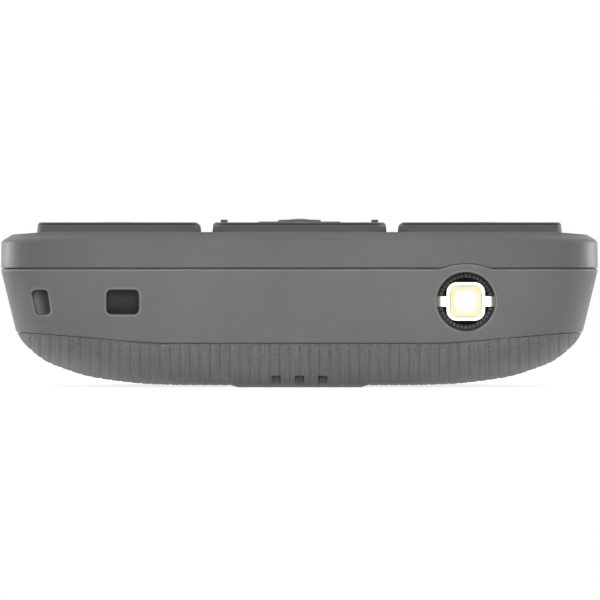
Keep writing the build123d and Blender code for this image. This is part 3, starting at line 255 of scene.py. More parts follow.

# %% [markdown]
# ## Moulded plastic
#
# The casing is grey plastic from a mould. It has a fine spark grain and a colour that drifts a
# little. A Bevel node rounds sharp edges in the shading only. Where its normal leaves the flat
# one, an edge is near, and a finish with a rim gets a painted highlight there: its colour turns
# paler, as if the rounded edge caught the light. That is the thin bright line of the photograph's
# seams.


# %% Moulded plastic
def moulded(name, colour, roughness, edge=0.15, rim=0.0, sheen=0.22):
    """Grey plastic with a spark grain, soft edges and a faint painted highlight along them."""
    finish = Finish(name, IOR=1.46, Specular_IOR_Level=sheen)
    drift = finish.noise(7.0, 2.0)
    speck = finish.noise(0.22, 2.0)
    soft = finish.soft_edges(edge)
    flat = finish.node("ShaderNodeNewGeometry", out=1)
    facing = finish.node("ShaderNodeVectorMath", {0: soft, 1: flat}, 1, operation="DOT_PRODUCT")
    # painted highlight: the colour turns paler near an edge, where the rounding would catch light
    edge_highlight = (1 - facing).step(0.06, 0.22) * rim
    dark = tuple(0.94 * c for c in colour)
    light = tuple(1.06 * c for c in colour)
    pale = tuple(min(1.0, 1.9 * c) for c in colour)
    tone = finish.blend((drift * 0.6 + speck * 0.4).step(0.3, 0.7), dark, light)
    finish.paint(edge_highlight, tone, pale)
    finish.set("Roughness", roughness + (finish.noise(1.6, 4.0) - 0.5) * 0.14)
    finish.relief(finish.noise(0.16, 4.0), 0.008, soft)
    return finish


band = moulded("band_grey", (0.186, 0.186, 0.187), 0.38)
shell = moulded("shell_grey", (0.226, 0.226, 0.227), 0.46, edge=0.3, rim=1.0, sheen=0.25)
cap = moulded("key_grey", (0.240, 0.240, 0.242), 0.5, edge=0.09, sheen=0.12)
print("plastics:", ", ".join(finishes))

# %% [markdown]
# The mouths of the two strap holes and of the lamp bore are rounded, and the rounding catches
# light. It shows as a pale line around each mouth, drawn here from the distance to its outline.
# Little light reaches into the holes, so the finish shades their insides too: the inner one is
# darker towards its floor, the outer one lighter towards its outer wall.

# %% Pale mouths and shaded holes
torch_x, _, torch_z = sum(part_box("torch_led"), Vector()) / 2 / MM
hole_z, hole_half = 7.15, 1.045
inner_x, inner_half, inner_corner = 14.77, 1.375, 0.45
outer_x, outer_half, outer_corner, outer_lean = 21.56, 0.66, 0.36, 0.17
bore_radius = 2.46
hole_depth = 7.0
mouth_tone = (0.34, 0.34, 0.34)
floor_tone, roof_tone = (0.075, 0.075, 0.075), (0.32, 0.32, 0.32)
near_tone, wall_tone = (0.26, 0.26, 0.26), (0.72, 0.72, 0.72)
high = shell.z - hole_z
leaning_x = shell.x - high * outer_lean


def from_outline(across, half_width, corner):
    """Distance to the outline of a hole with rounded corners, in millimetres."""
    beside = (abs(across) - (half_width - corner)).at_least(0)
    above = (abs(high) - (hole_half - corner)).at_least(0)
    return (beside * beside + above * above) ** 0.5 - corner


from_inner = from_outline(shell.x - inner_x, inner_half, inner_corner)
from_outer = from_outline(leaning_x - outer_x, outer_half, outer_corner)
bore_x, bore_z = shell.x - torch_x, shell.z - torch_z
from_bore = (bore_x * bore_x + bore_z * bore_z) ** 0.5 - bore_radius
from_mouth = from_inner.at_most(from_outer).at_most(from_bore)
hole_end = upper_end_y / MM - hole_depth
near_end = shell.y.step(hole_end, hole_end + 0.1)
mouth = from_mouth.step(-0.03, 0.03) * from_mouth.step(0.22, 0.08) * near_end
inside_inner = shell.blend(high.step(-0.9, 0.9), floor_tone, roof_tone)
inside_outer = shell.blend(leaning_x.step(21.2, 22.1), near_tone, wall_tone)
shell.paint_over(mouth, mouth_tone)
shell.paint_over(from_inner.step(-0.02, -0.12) * near_end, inside_inner)
shell.paint_over(from_outer.step(0.0, -0.05) * near_end, inside_outer)
print("pale mouths at z", hole_z, "and", round(torch_z, 2))

# %% [markdown]
# Seen this flat, the rounded rim of the front face would mirror the white surroundings as a
# bright line. The photograph has none there, so the rim gets a second, dull shader.

# %% Dull rim of the front face
face_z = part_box("front_housing")[1].z / MM
below_face = face_z - band.z
on_rim = below_face.step(0.3, 0.18) * below_face.step(0.01, 0.02)
dull = (0.225, 0.225, 0.226, 1)
band.second_shader(on_rim, Base_Color=dull, Roughness=0.8, Specular_IOR_Level=0.0)
print("front face at", round(face_z, 2))

# %% [markdown]
# In the photograph a shallow dome shows inside the rim of the select key, bright where it catches
# the light. It is part of the same keycap, so the key finish carries that as a painted highlight:
# it turns pale inside a small circle and stays grey elsewhere. Along the top edge of every key
# runs a dark line of painted shade, where the rounded edge turns away from the light.

# %% The painted highlight on the dome and the painted shade on the key edges
select_low, select_high = (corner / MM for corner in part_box("key_select"))
select_x, select_y = ((select_low + select_high) / 2).xy
off_x, off_y = cap.x - select_x, cap.y - select_y
from_dome = (off_x * off_x + off_y * off_y) ** 0.5
dome_radius, dome_height, soft = 1.5, 0.24, 0.02
dome_foot_z = select_high.z - dome_height
dome_highlight = from_dome.step(dome_radius, dome_radius - soft)
dome_highlight = dome_highlight * cap.z.step(dome_foot_z - soft, dome_foot_z)
key_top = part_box("key_1")[1].z / MM
below_top = key_top - cap.z
key_edge_shade = below_top.step(0.24, 0.17) * below_top.step(0.08, 0.12)
# painted shade along the rounded top edge of every key
cap.paint_over(key_edge_shade, (0.05, 0.05, 0.05))
# painted highlight on the dome of the select key
cap.paint_over(dome_highlight, (0.5, 0.5, 0.5))
print("pale dome at y", round(select_y, 2), "and key tops at z", round(key_top, 2))

# %% [markdown]
# ## The ribbed cover's plastic
#
# The ribs themselves are real geometry, made further down. The photograph also shows a fine,
# uneven pattern on them: a dark stripe in each main groove, narrow stripes between, broken
# streaks along the ribs, and small lumps below the seam that fade out downwards. The dark stripe
# in the main groove is painted shade, a darker colour where the groove lies in shadow; the
# streaks and lumps are the surface's own texture. All of that is far too shallow for geometry, so
# the finish carries it as colour and relief.

# %% Ribbed cover
rib_pitch, stripe_pitch = 0.8333, 0.2083
lumps_end_z, lumps_full_z = 1.6, 3.4
ribbed = moulded("ribbed_grey", (0.300, 0.300, 0.301), 0.5, edge=0.03)
under_seam = ribbed.z.step(lumps_end_z, lumps_full_z)
# painted shade: darker colour in the middle of each main groove
wide = ribbed.x.repeat(rib_pitch).step(0.17, 0.05)
narrow = ribbed.x.repeat(stripe_pitch).step(0.06, 0.0)
streak = ribbed.noise(0.16, 1.0, stretch=(1.0, 0.06, 0.08)).step(0.40, 0.62)
lump = ribbed.noise(0.15, 1.0).step(0.42, 0.6) * under_seam
groove_shade_and_texture = wide * 0.22 + narrow * 0.28 + streak * 0.18 + lump * 0.32
# painted shade in the grooves, mixed with the stripes, streaks and lumps of the texture
ribbed.paint_over(groove_shade_and_texture, (0.120, 0.120, 0.121))
ribbed.relief(groove_shade_and_texture, -0.03, ribbed.fed("Normal"))
print("lumps fade out at z =", lumps_end_z, "mm")

# %% [markdown]
# ## Other plastics and rubbers
#
# Inside and around the casing there are many small pieces. Each kind gets its own finish, made
# from one recipe with its own colour, sheen and grain size.


# %% Small pieces' plastics
def plain(name, colour, roughness, relief=0.01, grain=0.3, spread=0.1, **more):
    """A finish whose colour and sheen vary in patches, and whose relief is a finer grain."""
    finish = Finish(name, Roughness=roughness, **more)
    low = tuple((1 - spread) * c for c in colour)
    high = tuple(min(1.0, (1 + spread) * c) for c in colour)
    finish.paint(finish.noise(2.0).step(0.3, 0.7), low, high)
    finish.set("Roughness", roughness + (finish.noise(0.8) - 0.5) * 0.12)
    finish.relief(finish.noise(grain, 4.0), relief)
    return finish


plain("black_tape", (0.012, 0.012, 0.013), 0.6, grain=0.15)
plain("flex_amber", (0.35, 0.13, 0.03), 0.3, spread=0.2, Coat_Weight=0.4)
plain("silicone_grey", (0.3, 0.31, 0.32), 0.62, Subsurface_Weight=0.15, Subsurface_Scale=0.001)
plain("speaker_black", (0.02, 0.02, 0.022), 0.5)
plain("foam_black", (0.016, 0.016, 0.017), 0.95, relief=0.12, grain=0.25, spread=0.5)
plain("mesh_black", (0.03, 0.03, 0.031), 0.4, Metallic=0.6)
bezel = plain("bezel_black", (0.010, 0.010, 0.010), 0.45, Specular_IOR_Level=0.25)
plain("label_white", (0.72, 0.72, 0.7), 0.7, relief=0.004, spread=0.04)
plain("connector_black", (0.02, 0.02, 0.02), 0.45)
plain("ink_white", (0.78, 0.79, 0.8), 0.55, relief=0.003, grain=0.08, spread=0.05)
plain("ink_green", (0.03, 0.42, 0.08), 0.5, relief=0.003, grain=0.08)
plain("ink_red", (0.55, 0.02, 0.02), 0.5, relief=0.003, grain=0.08)
plain("screw_black", (0.05, 0.05, 0.052), 0.35, Metallic=1.0)
print(len(finishes), "finishes so far")

# %% [markdown]
# The beads on the torch ring stand a little proud of it and catch more light than the ring, so
# their fronts get a lighter colour, a painted highlight.

# %% Painted highlight on the beads
bead_foot_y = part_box("torch_bezel")[1].y / MM + 0.02
bead_top_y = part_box("torch_bezel")[1].y / MM + 0.08
bead_highlight = bezel.y.step(bead_foot_y, bead_top_y)
# painted highlight on the fronts of the beads
bezel.paint_over(bead_highlight, (0.120, 0.120, 0.118))
print("beads start at y", round(bead_foot_y, 2))

# %% [markdown]
# ## Metals
#
# Pressed steel, gold plating and copper differ mainly in colour. The marks that forming leaves,
# long in one direction, make them read as metal sheet instead of grey paint.


# %% Metals
def metal(name, colour, roughness, stretch=(1.0, 9.0, 1.0)):
    """Sheet or turned metal with fine marks in one direction."""
    finish = Finish(name, Metallic=1.0, Roughness=roughness)
    marks = finish.noise(0.5, 5.0, stretch=stretch)
    dull = tuple(0.82 * c for c in colour)
    finish.paint(marks.step(0.3, 0.7), dull, colour)
    finish.set("Roughness", roughness + (marks - 0.5) * 0.22)
    finish.relief(marks, 0.006)


metal("tray_steel", (0.56, 0.57, 0.58), 0.38)
metal("dome_steel", (0.66, 0.66, 0.65), 0.28, (5.0, 5.0, 1.0))
metal("can_steel", (0.6, 0.6, 0.6), 0.33)
metal("contact_gold", (0.9, 0.62, 0.22), 0.25)
metal("weight_metal", (0.42, 0.41, 0.4), 0.42, (9.0, 1.0, 1.0))
metal("battery_can", (0.42, 0.43, 0.45), 0.4)
metal("antenna_copper", (0.83, 0.42, 0.25), 0.3)
metal("socket_steel", (0.62, 0.62, 0.63), 0.3, (1.0, 1.0, 9.0))
print("metals added, finishes:", len(finishes))

# %% [markdown]
# ## The main board
#
# A board is green lacquer over copper tracks. The tracks show as slightly lighter, slightly
# raised lines on a square grid, broken up by noise so they don't run everywhere. The front of
# the small lamp board is dull black, so that nothing shines beside the lamp.

# %% Board green
board = Finish("board_green", Coat_Roughness=0.2, Specular_IOR_Level=0.3)
wander = board.noise(5.0, 1.0)
pitch_x, pitch_y = 0.9, 1.1
track_x = board.x.repeat(pitch_x).step(0.16, 0.1) * wander.step(0.52, 0.56)
track_y = board.y.repeat(pitch_y).step(0.16, 0.1) * wander.step(0.48, 0.44)
track = track_x.at_least(track_y)
lamp_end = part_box("torch_board")[0].y / MM
in_torch = board.y.step(lamp_end + 0.7, lamp_end + 0.75)
board.paint(track, (0.012, 0.085, 0.03), (0.03, 0.16, 0.06))
board.paint_over(in_torch, (0.002, 0.002, 0.002))
board.set("Roughness", 0.35 + (board.noise(0.8) - 0.5) * 0.1 + in_torch * 0.5)
board.set("Coat Weight", 0.3 - in_torch * 0.3)
board.relief(track, 0.03)
print("tracks run on a grid of", pitch_x, "by", pitch_y, "mm")

# %% [markdown]
# ## Window and panel
#
# The window is a clear sheet, printed black from behind around the picture area. One piece
# needs two shaders then: clear where the panel shows, black where it is printed. A mask from
# the object's own coordinates picks between them.

# %% Window
window = Finish("window_glass", Roughness=0.04, IOR=1.36, Transmission_Weight=1.0)
low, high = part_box("display_window")
print_width = 2.4
middle_y = (low.y + high.y) / 2 / MM
half_x = high.x / MM - print_width
half_y = (high.y - low.y) / 2 / MM - print_width
side_x = abs(window.x).step(half_x - 0.03, half_x + 0.03)
side_y = abs(window.y - middle_y).step(half_y - 0.03, half_y + 0.03)
smear = window.noise(9.0, 4.0, stretch=(1.0, 0.5, 1.0))
window.set("Roughness", 0.03 + smear * 0.03)
black = (0.006, 0.006, 0.007, 1)
window.second_shader(side_x.at_least(side_y), Base_Color=black, Roughness=0.09)
panel = Finish("panel_black", Roughness=0.35, Specular_IOR_Level=0.12)
dot_pitch = 0.15
dot = panel.x.repeat(dot_pitch).step(0.06, 0.03) * panel.y.repeat(dot_pitch).step(0.06, 0.03)
cloud = panel.noise(14.0, 2.0)
unlit, lit = (0.010, 0.012, 0.015), (0.030, 0.034, 0.040)
panel.paint(dot * 0.5 + cloud * 0.5, unlit, lit)
panel.set("Roughness", 0.33 + cloud * 0.06)
print("clear area is", round(2 * half_x, 1), "by", round(2 * half_y, 1), "mm")

# %% [markdown]
# ## The lamp
#
# The torch is lit in the photograph: a white body, a pale yellow frame inside it, and a centre
# that is pure white. Emission gives that glow. Its colour follows the distance from the lamp's
# own axis, so the glow stays on the lamp from every side.

# %% Lamp body and glow
low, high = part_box("torch_led")
lamp_x, _, lamp_z = (low + high) / 2 / MM
lamp = Finish("lamp_white", Roughness=0.4, Emission_Strength=0.85)
tab_start, tab_end = 1.95, 2.25
line_inside, line_outside = 1.16, 1.40
across = abs(lamp.x - lamp_x)
fade = across.step(tab_start, tab_end)
around = (across**4 + abs(lamp.z - lamp_z) ** 4) ** 0.25
frame_line = around.step(line_inside, 1.2) - around.step(1.33, line_outside)
shine = lamp.blend(frame_line, (1.0, 0.99, 0.86), (0.62, 0.58, 0.40))
lamp.set("Emission Color", lamp.blend(fade, shine, (0.10, 0.095, 0.06)))
lamp.paint(lamp.noise(0.8), (0.84, 0.84, 0.8), (0.92, 0.92, 0.88))
lamp.paint_over(frame_line, (0.10, 0.10, 0.08))
lamp.paint_over(fade, (0.08, 0.075, 0.055))
lamp.relief(lamp.noise(0.3), 0.01)
glow = Finish("lamp_glow", Roughness=0.3, Emission_Strength=1.0)
out_x, out_z = abs(glow.x - lamp_x), abs(glow.z - lamp_z)
square = (out_x**4 + out_z**4) ** 0.25
centre_white, edge_yellow = (1.0, 1.0, 0.99), (0.80, 0.74, 0.47)
glow.set("Emission Color", glow.blend(square.step(0.45, 1.1), centre_white, edge_yellow))
glow.paint(glow.noise(0.4), (0.08, 0.08, 0.06), (0.12, 0.12, 0.09))
glow.relief(glow.noise(0.2), 0.01)
print("lamp axis at x", round(lamp_x, 2), "z", round(lamp_z, 2))

# %% [markdown]
# ## Finishes onto the solid pieces
#
# Each solid came with a material named for its slot in the parts list. The finish of the same
# name takes its place, so no piece keeps a plain colour.

# %% Hand the finishes out
used = set()
for piece in nodes.values():
    for index, old in enumerate(piece.data.materials):
        slot_name = old.name.split(".")[0]
        piece.data.materials[index] = finishes[slot_name].material
        used.add(slot_name)
print(len(used), "finishes on", len(nodes), "solids")

# %% [markdown]
# ## Geometry Nodes from Python
#
# Ribs, beads and woven wires repeat one small shape by a rule, which is what Geometry Nodes are
# for. This class builds such a tree in the script, with named inputs for its sizes. When a tree
# is done, its result is turned into a plain mesh, because the phone is also handed on as a model
# that knows no modifiers.


# %% One class for all recipes
def plain_mesh(carrier):
    """A plain mesh of what an object shows. The object itself goes away."""
    scene.collection.objects.link(carrier)
    depsgraph = bpy.context.evaluated_depsgraph_get()
    mesh = bpy.data.meshes.new_from_object(carrier.evaluated_get(depsgraph))
    bpy.data.objects.remove(carrier)
    return mesh


def built_mesh(name, shape):
    """A mesh from a bmesh, which is freed."""
    mesh = bpy.data.meshes.new(name)
    shape.to_mesh(mesh)
    shape.free()
    return mesh


class Recipe:
    """A Geometry Nodes tree with a geometry input and named sizes."""

    def __init__(self, name, **sizes):
        self.tree = bpy.data.node_groups.new(name, "GeometryNodeTree")
        face = self.tree.interface
        face.new_socket("Geometry", in_out="INPUT", socket_type="NodeSocketGeometry")
        face.new_socket("Geometry", in_out="OUTPUT", socket_type="NodeSocketGeometry")
        self.sizes = sizes
        for label, value in sizes.items():
            kind = "NodeSocketInt" if isinstance(value, int) else "NodeSocketFloat"
            face.new_socket(label, in_out="INPUT", socket_type=kind)
        inlet = self.tree.nodes.new("NodeGroupInput")
        self.start = Wire(self.tree, inlet.outputs["Geometry"])
        self.size = {label: Wire(self.tree, inlet.outputs[label]) for label in sizes}

    def node(self, kind, sockets=None, out=0, **settings):
        return add_node(self.tree, kind, sockets, out, **settings)

    def vector(self, x, y, z):
        return self.node("ShaderNodeCombineXYZ", {0: x, 1: y, 2: z})

    def moved(self, geometry, shift, turn=None):
        sockets = {"Geometry": geometry, "Translation": shift, "Rotation": turn}
        return self.node("GeometryNodeTransform", sockets)

    def join(self, *wires):
        joined = self.tree.nodes.new("GeometryNodeJoinGeometry")
        for wire in wires:
            self.tree.links.new(wire.socket, joined.inputs[0])
        return Wire(self.tree, joined.outputs[0])

    def finish(self, geometry, material):
        """The end of every tree: real meshes instead of instances, and their material."""
        real = self.node("GeometryNodeRealizeInstances", {0: geometry})
        sockets = {"Geometry": real, "Material": material}
        painted = self.node("GeometryNodeSetMaterial", sockets)
        outlet = self.tree.nodes.new("NodeGroupOutput")
        plug(self.tree, painted, outlet.inputs[0])

    def bake(self, name, mesh=None):
        """The result of the tree on a mesh, or on nothing, as a plain mesh."""
        mesh = mesh or bpy.data.meshes.new(name + "_seed")
        carrier = bpy.data.objects.new(name + "_carrier", mesh)
        modifier = carrier.modifiers.new("recipe", "NODES")
        modifier.node_group = self.tree
        for item in self.tree.interface.items_tree:
            if item.in_out == "INPUT" and item.name in self.sizes:
                modifier[item.identifier] = self.sizes[item.name]
        result = plain_mesh(carrier)
        result.name = name
        return result


def place(name, mesh, body, slot_name=None, stands_for=()):
    """Shows a mesh that is already in its place, and lets it ride on a body."""
    piece = bpy.data.objects.new(name, mesh)
    scene.collection.objects.link(piece)
    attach(piece, body)
    if stands_for:
        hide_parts(*stands_for)


print("recipes end in Realize Instances and Set Material")

# %% [markdown]
# ## The bowl of the rear cover
#
# The cover is a shallow bowl: flat in the middle, turning up to the seam on all four sides.
# Level by level its outline is a rectangle with round corners and slightly bowed ends. The CAD
# model joins a few levels by straight skins. Here the same levels get a smooth curve through
# them, so no bands show, and columns of points run along the phone where the ribs will be.

# %% Sizes of the bowl
half_width, half_length = 25.0, 59.0
corner_radius = 8.0
end_bow_radius = 600.0
pad_height, shoulder_z, shoulder_inset = 0.17, 4.80, 1.22
flat_half_width, flat_half_length, flat_corner_radius = 10.0, 51.5, 6.0
rise_shares = (0.0, 0.025, 0.07, 0.16, 0.26, 0.44, 0.62, 0.80, 1.0)
spread_shares = (0.0, 0.22, 0.37, 0.56, 0.67, 0.82, 0.90, 0.96, 1.0)
seam_middle_z = 3.71
seam_corners = (12.2, 22.4)
seam_slopes = (0.0, 0.0863, 0.0232)
seam_blend_radius = 30.0
seam_gap = 0.05


def smooth_line(xs, ys):
    """A curve through points that never swings past them."""
    xs, ys = np.array(xs, float), np.array(ys, float)
    run, rise = np.diff(xs), np.diff(ys)
    slope = rise / run
    inner = 2 * slope[1:] * slope[:-1] / (slope[1:] + slope[:-1])
    lean = np.concatenate(([slope[0]], inner, [slope[-1]]))

    def at(x):
        place = np.clip(np.searchsorted(xs, x) - 1, 0, len(run) - 1)
        t, h = (x - xs[place]) / run[place], run[place]
        a, b = lean[place] * h, lean[place + 1] * h
        return (
            ys[place] * (1 + 2 * t) * (1 - t) ** 2
            + a * t * (1 - t) ** 2
            + ys[place + 1] * t**2 * (3 - 2 * t)
            - b * t**2 * (1 - t)
        )

    return at


spread_at = smooth_line(rise_shares, spread_shares)
print("spread at half of the rise:", round(float(spread_at(np.array(0.5))), 3))


# %% Outline and height of the bowl
def level_sizes(z):
    """Half width, half length and corner radius of the outline at a height."""
    share = spread_at(np.clip((z - pad_height) / (shoulder_z - pad_height), 0, 1))
    side = flat_half_width + share * (half_width - shoulder_inset - flat_half_width)
    end = flat_half_length + share * (half_length - shoulder_inset - flat_half_length)
    corner = flat_corner_radius + share * (corner_radius - flat_corner_radius)
    return side, end, corner


def end_at(x, z):
    """How far the outline at a height reaches along the phone, at a distance from the middle."""
    side, end, corner = level_sizes(z)
    bow_center = end - end_bow_radius
    inner = side - corner
    corner_y = bow_center + np.sqrt((end_bow_radius - corner) ** 2 - inner**2)
    lean = np.arctan2(inner, corner_y - bow_center)
    bowed = bow_center + np.sqrt(end_bow_radius**2 - np.minimum(x, side) ** 2)
    reach = np.clip(corner**2 - np.maximum(x - inner, 0) ** 2, 0, None)
    return np.where(x <= inner + corner * np.sin(lean), bowed, corner_y + np.sqrt(reach))


def height_at(x, y):
    """Height of the bowl's outside above the table, found by halving."""
    x, y = np.abs(x), np.abs(y)
    low, high = np.full(x.shape, pad_height), np.full(x.shape, shoulder_z)
    for _ in range(30):
        middle = (low + high) / 2
        inside = (x <= level_sizes(middle)[0]) & (y <= end_at(x, middle))
        high = np.where(inside, middle, high)
        low = np.where(inside, low, middle)
    return high


def seam_at(x):
    """Height of the seam: level in the middle, rising to the sides, with blended corners."""
    x = np.abs(x)
    z = np.full(x.shape, seam_middle_z)
    for corner_x, before, after in zip(seam_corners, seam_slopes, seam_slopes[1:]):
        blend = seam_blend_radius * abs(after - before) / 2
        passed = np.clip(x - corner_x + blend, 0, 2 * blend)
        z = z + (after - before) * (passed**2 / (4 * blend) + np.maximum(x - corner_x - blend, 0))
    return z


sample = height_at(np.array([0.0]), np.array([55.8]))
print("bowl height 2 mm inside its end:", round(float(sample[0]), 2))

# %% [markdown]
# ## Columns and rows of the skin
#
# A rib's groove is a quarter of a millimetre wide, so it needs columns of points at its edges
# and its middle. Along the phone few rows are enough, except near the ends, where the bowl turns
# up, and at the edges of the sound holes and of the two pads.

# %% Columns and rows
groove_width, groove_depth, fine_groove_depth = 0.26, 0.045, 0.014
hole_half, hole_pitch = 0.385, 1.95
hole_rows = ((53.62, 55.15), (49.82, 51.35))
pad_half, pad_slope, pad_blend = 5.15, 0.49, 0.30
pad_rows = ((47.0, 57.78), (-56.0, -50.0))
middle_rows, turning_rows, end_rows = (0, 46, 3.2), (46.4, 52.8, 0.55), (53.0, 57.2, 0.14)
least_gap = 0.03


def seam_low(x):
    """Upper edge of the cover, a hair below the seam."""
    return seam_at(x) - seam_gap


edge_x = 23.0
for _ in range(40):
    edge_x = float(level_sizes(seam_low(np.array(edge_x)))[0])
offsets = np.array([-0.13, -0.065, 0.0, 0.065, 0.13, 0.345, 0.4167, 0.488])
columns = (np.arange(-29, 30)[:, None] * rib_pitch + offsets).ravel()
hole_edges = [c * hole_pitch + s * hole_half for c in (-1, 0, 1) for s in (-1, 1)]
pad_edges = [s * (pad_half + p) for s in (-1, 1) for p in (0, pad_slope)]
columns = [c for c in columns if abs(c) < edge_x - 0.05]
kept = [c for c in columns if min(abs(c - e) for e in hole_edges) > least_gap]
columns = np.array(sorted(kept + hole_edges + pad_edges + [-edge_x, edge_x]))
half_rows = np.concatenate([np.arange(*r) for r in (middle_rows, turning_rows, end_rows)])
last_row = float(end_at(np.array(0.0), seam_low(np.array(0.0))))
half_rows = half_rows[half_rows < last_row - 0.05]
marks = [46.98, 47.0, -49.98, -50.0] + [y for pair in hole_rows for y in pair]
rows = np.concatenate((-half_rows, half_rows))
rows = [y for y in rows if min(abs(y - m) for m in marks) > least_gap]
rows = np.array(sorted(set(rows + marks + [-last_row, last_row])))
print(len(columns), "columns and", len(rows), "rows")

# %% [markdown]
# The pads are the bowl again, lowered to the table and pushed a little inwards, so they grow out
# of the ribbed surface at the ends without a step. The share of rib depth fades out on them.

# %% The skin's points
pad_fade, seam_fade, side_fade = 0.06, 0.2, 0.4
column_end = end_at(np.abs(columns), seam_low(columns))
grid_x = np.repeat(columns[:, None], len(rows), axis=1)
grid_y = rows[None, :] * (column_end / last_row)[:, None]
grid_z = np.minimum(height_at(grid_x, grid_y), seam_low(grid_x))
pad_share = np.zeros_like(grid_z)
slope_z = np.maximum(np.abs(grid_x) - pad_half, 0) / pad_slope * pad_height
for start, stop in pad_rows:
    inwards = np.sign(start + stop) * pad_blend
    lowered = np.maximum(height_at(grid_x, grid_y + inwards) - pad_height, slope_z)
    on_pad = (grid_y >= start) & (grid_y <= stop) & (np.abs(grid_x) <= pad_half + pad_slope)
    pad_share = np.where(on_pad, np.clip((grid_z - lowered) / pad_fade, 0, 1), pad_share)
    grid_z = np.where(on_pad, np.minimum(grid_z, lowered), grid_z)
rib_share = (1 - pad_share) * np.clip((seam_low(grid_x) - grid_z) / seam_fade, 0, 1)
rib_share[np.abs(columns) > edge_x - side_fade] = 0
print("lowest point of the skin:", round(float(grid_z.min()), 3), "mm")


# %% The skin as a mesh
def grid_mesh(name, xyz, skip):
    """A mesh of a grid of points, without the squares whose middle a test skips."""
    across, along = xyz.shape[:2]
    index = np.arange(across * along).reshape(across, along)
    corners = (index[:-1, :-1], index[:-1, 1:], index[1:, 1:], index[1:, :-1])
    quads = np.stack(corners, -1).reshape(-1, 4)
    flat = xyz.reshape(-1, 3)
    quads = quads[~skip(flat[quads].mean(1))]
    mesh = bpy.data.meshes.new(name)
    mesh.from_pydata((flat * MM).tolist(), [], quads.tolist())
    return mesh


def in_hole(middle):
    """Whether the middle of a square lies in one of the sound holes."""
    x, y = middle[:, 0], middle[:, 1]
    from_column = np.abs(x - np.clip(np.round(x / hole_pitch), -1, 1) * hole_pitch)
    in_row = [(y > low) & (y < high) for low, high in hole_rows]
    return (from_column < hole_half) & (in_row[0] | in_row[1])


skin = grid_mesh("cover_skin", np.stack((grid_x, grid_y, grid_z), -1), in_hole)
share_values = skin.attributes.new("rib_share", "FLOAT", "POINT").data
share_values.foreach_set("value", rib_share.ravel().astype(np.float32))
skin.polygons.foreach_set("use_smooth", [True] * len(skin.polygons))
one_normal = skin.polygons[len(skin.polygons) // 2].normal
print(len(skin.polygons), "squares, a middle one faces", [round(v, 2) for v in one_normal])

# %% [markdown]
# ## Ribs by a rule
#
# The tree pushes every point inwards by the depth of the groove it lies in. The groove follows
# from the distance to the nearest multiple of the pitch, as in the photograph: a main groove per
# pitch and a finer one between.

# %% Rib recipe
ribs = Recipe(
    "ribs",
    Pitch=rib_pitch * MM,
    Groove_Width=groove_width * MM,
    Groove_Depth=groove_depth * MM,
    Fine_Depth=fine_groove_depth * MM,
)
position = ribs.node("GeometryNodeInputPosition")
along_x = ribs.node("ShaderNodeSeparateXYZ", {0: position})
to_groove = along_x.repeat(ribs.size["Pitch"])
half_groove = ribs.size["Groove_Width"] / 2
main = (to_groove / half_groove).step(1.0, 0.3)
fine = ((ribs.size["Pitch"] / 2 - to_groove) / half_groove).step(0.6, 0.1)
share = ribs.node("GeometryNodeInputNamedAttribute", {"Name": "rib_share"}, data_type="FLOAT")
depth = (main * ribs.size["Groove_Depth"] + fine * ribs.size["Fine_Depth"]) * share
normal = ribs.node("GeometryNodeInputNormal")
push = ribs.node("ShaderNodeVectorMath", {0: normal, "Scale": -depth}, operation="SCALE")
moved = ribs.node("GeometryNodeSetPosition", {"Geometry": ribs.start, "Offset": push})
ribs.finish(moved, ribbed.material)
ribbed_skin = ribs.bake("rear_cover_ribbed", skin)
print("ribbed skin has", len(ribbed_skin.vertices), "points")

# %% [markdown]
# ## The cover's inside
#
# The inside of the cover, its clips and its hole walls are right as they are in CAD. A merged
# copy gives them, less the outer faces that the ribbed skin stands for. A face counts as outer
# when it looks away from the bowl's middle line and lies close to the bowl.

# %% Join skin and inside
middle_line_z = 5.0
close, below_seam_z = 0.22, 4.72
inner = bmesh.new()
inner.from_mesh(nodes["rear_cover"].data)
bmesh.ops.remove_doubles(inner, verts=inner.verts, dist=1e-6)
middles = np.array([f.calc_center_median() for f in inner.faces]) / MM
facing = np.array([f.normal for f in inner.faces])
x, y, z = middles.T
from_line = np.stack((x, 0.1 * y, z - middle_line_z), -1)
outward = np.einsum("ij,ij->i", facing, from_line) > 0
side, _, _ = level_sizes(z)
to_side = np.abs(np.abs(x) - side)
to_end = np.abs(np.abs(y) - end_at(np.abs(x), z))
to_bowl = np.abs(z - height_at(x, y))
near_bowl = np.minimum(to_bowl, np.minimum(to_side, to_end)) < close
outer = outward & near_bowl & (z < below_seam_z)
doomed = [f for f, gone in zip(inner.faces, outer) if gone and f.normal.z < 0.5]
bmesh.ops.delete(inner, geom=doomed, context="FACES")
whole = bmesh.new()
whole.from_mesh(ribbed_skin)
whole.from_mesh(built_mesh("cover_inside", inner))
cover_mesh = built_mesh("rear_cover_ribbed", whole)
cover_mesh.materials.append(ribbed.material)
place("rear_cover_ribbed", cover_mesh, "rear_cover", "ribbed_grey", ["rear_cover"])
print(len(doomed), "outer faces left out, cover has", len(cover_mesh.polygons), "faces")

# %% [markdown]
# ## The knurled torch ring
#
# Around the lamp sits a black ring with a bead edge. The ring is the CAD solid. The beads are
# one bead, repeated on a circle in its front face. None sits where the lamp's two tabs end, so
# the rule leaves out points near the level of the axis. Two small plates make the tabs' ends.

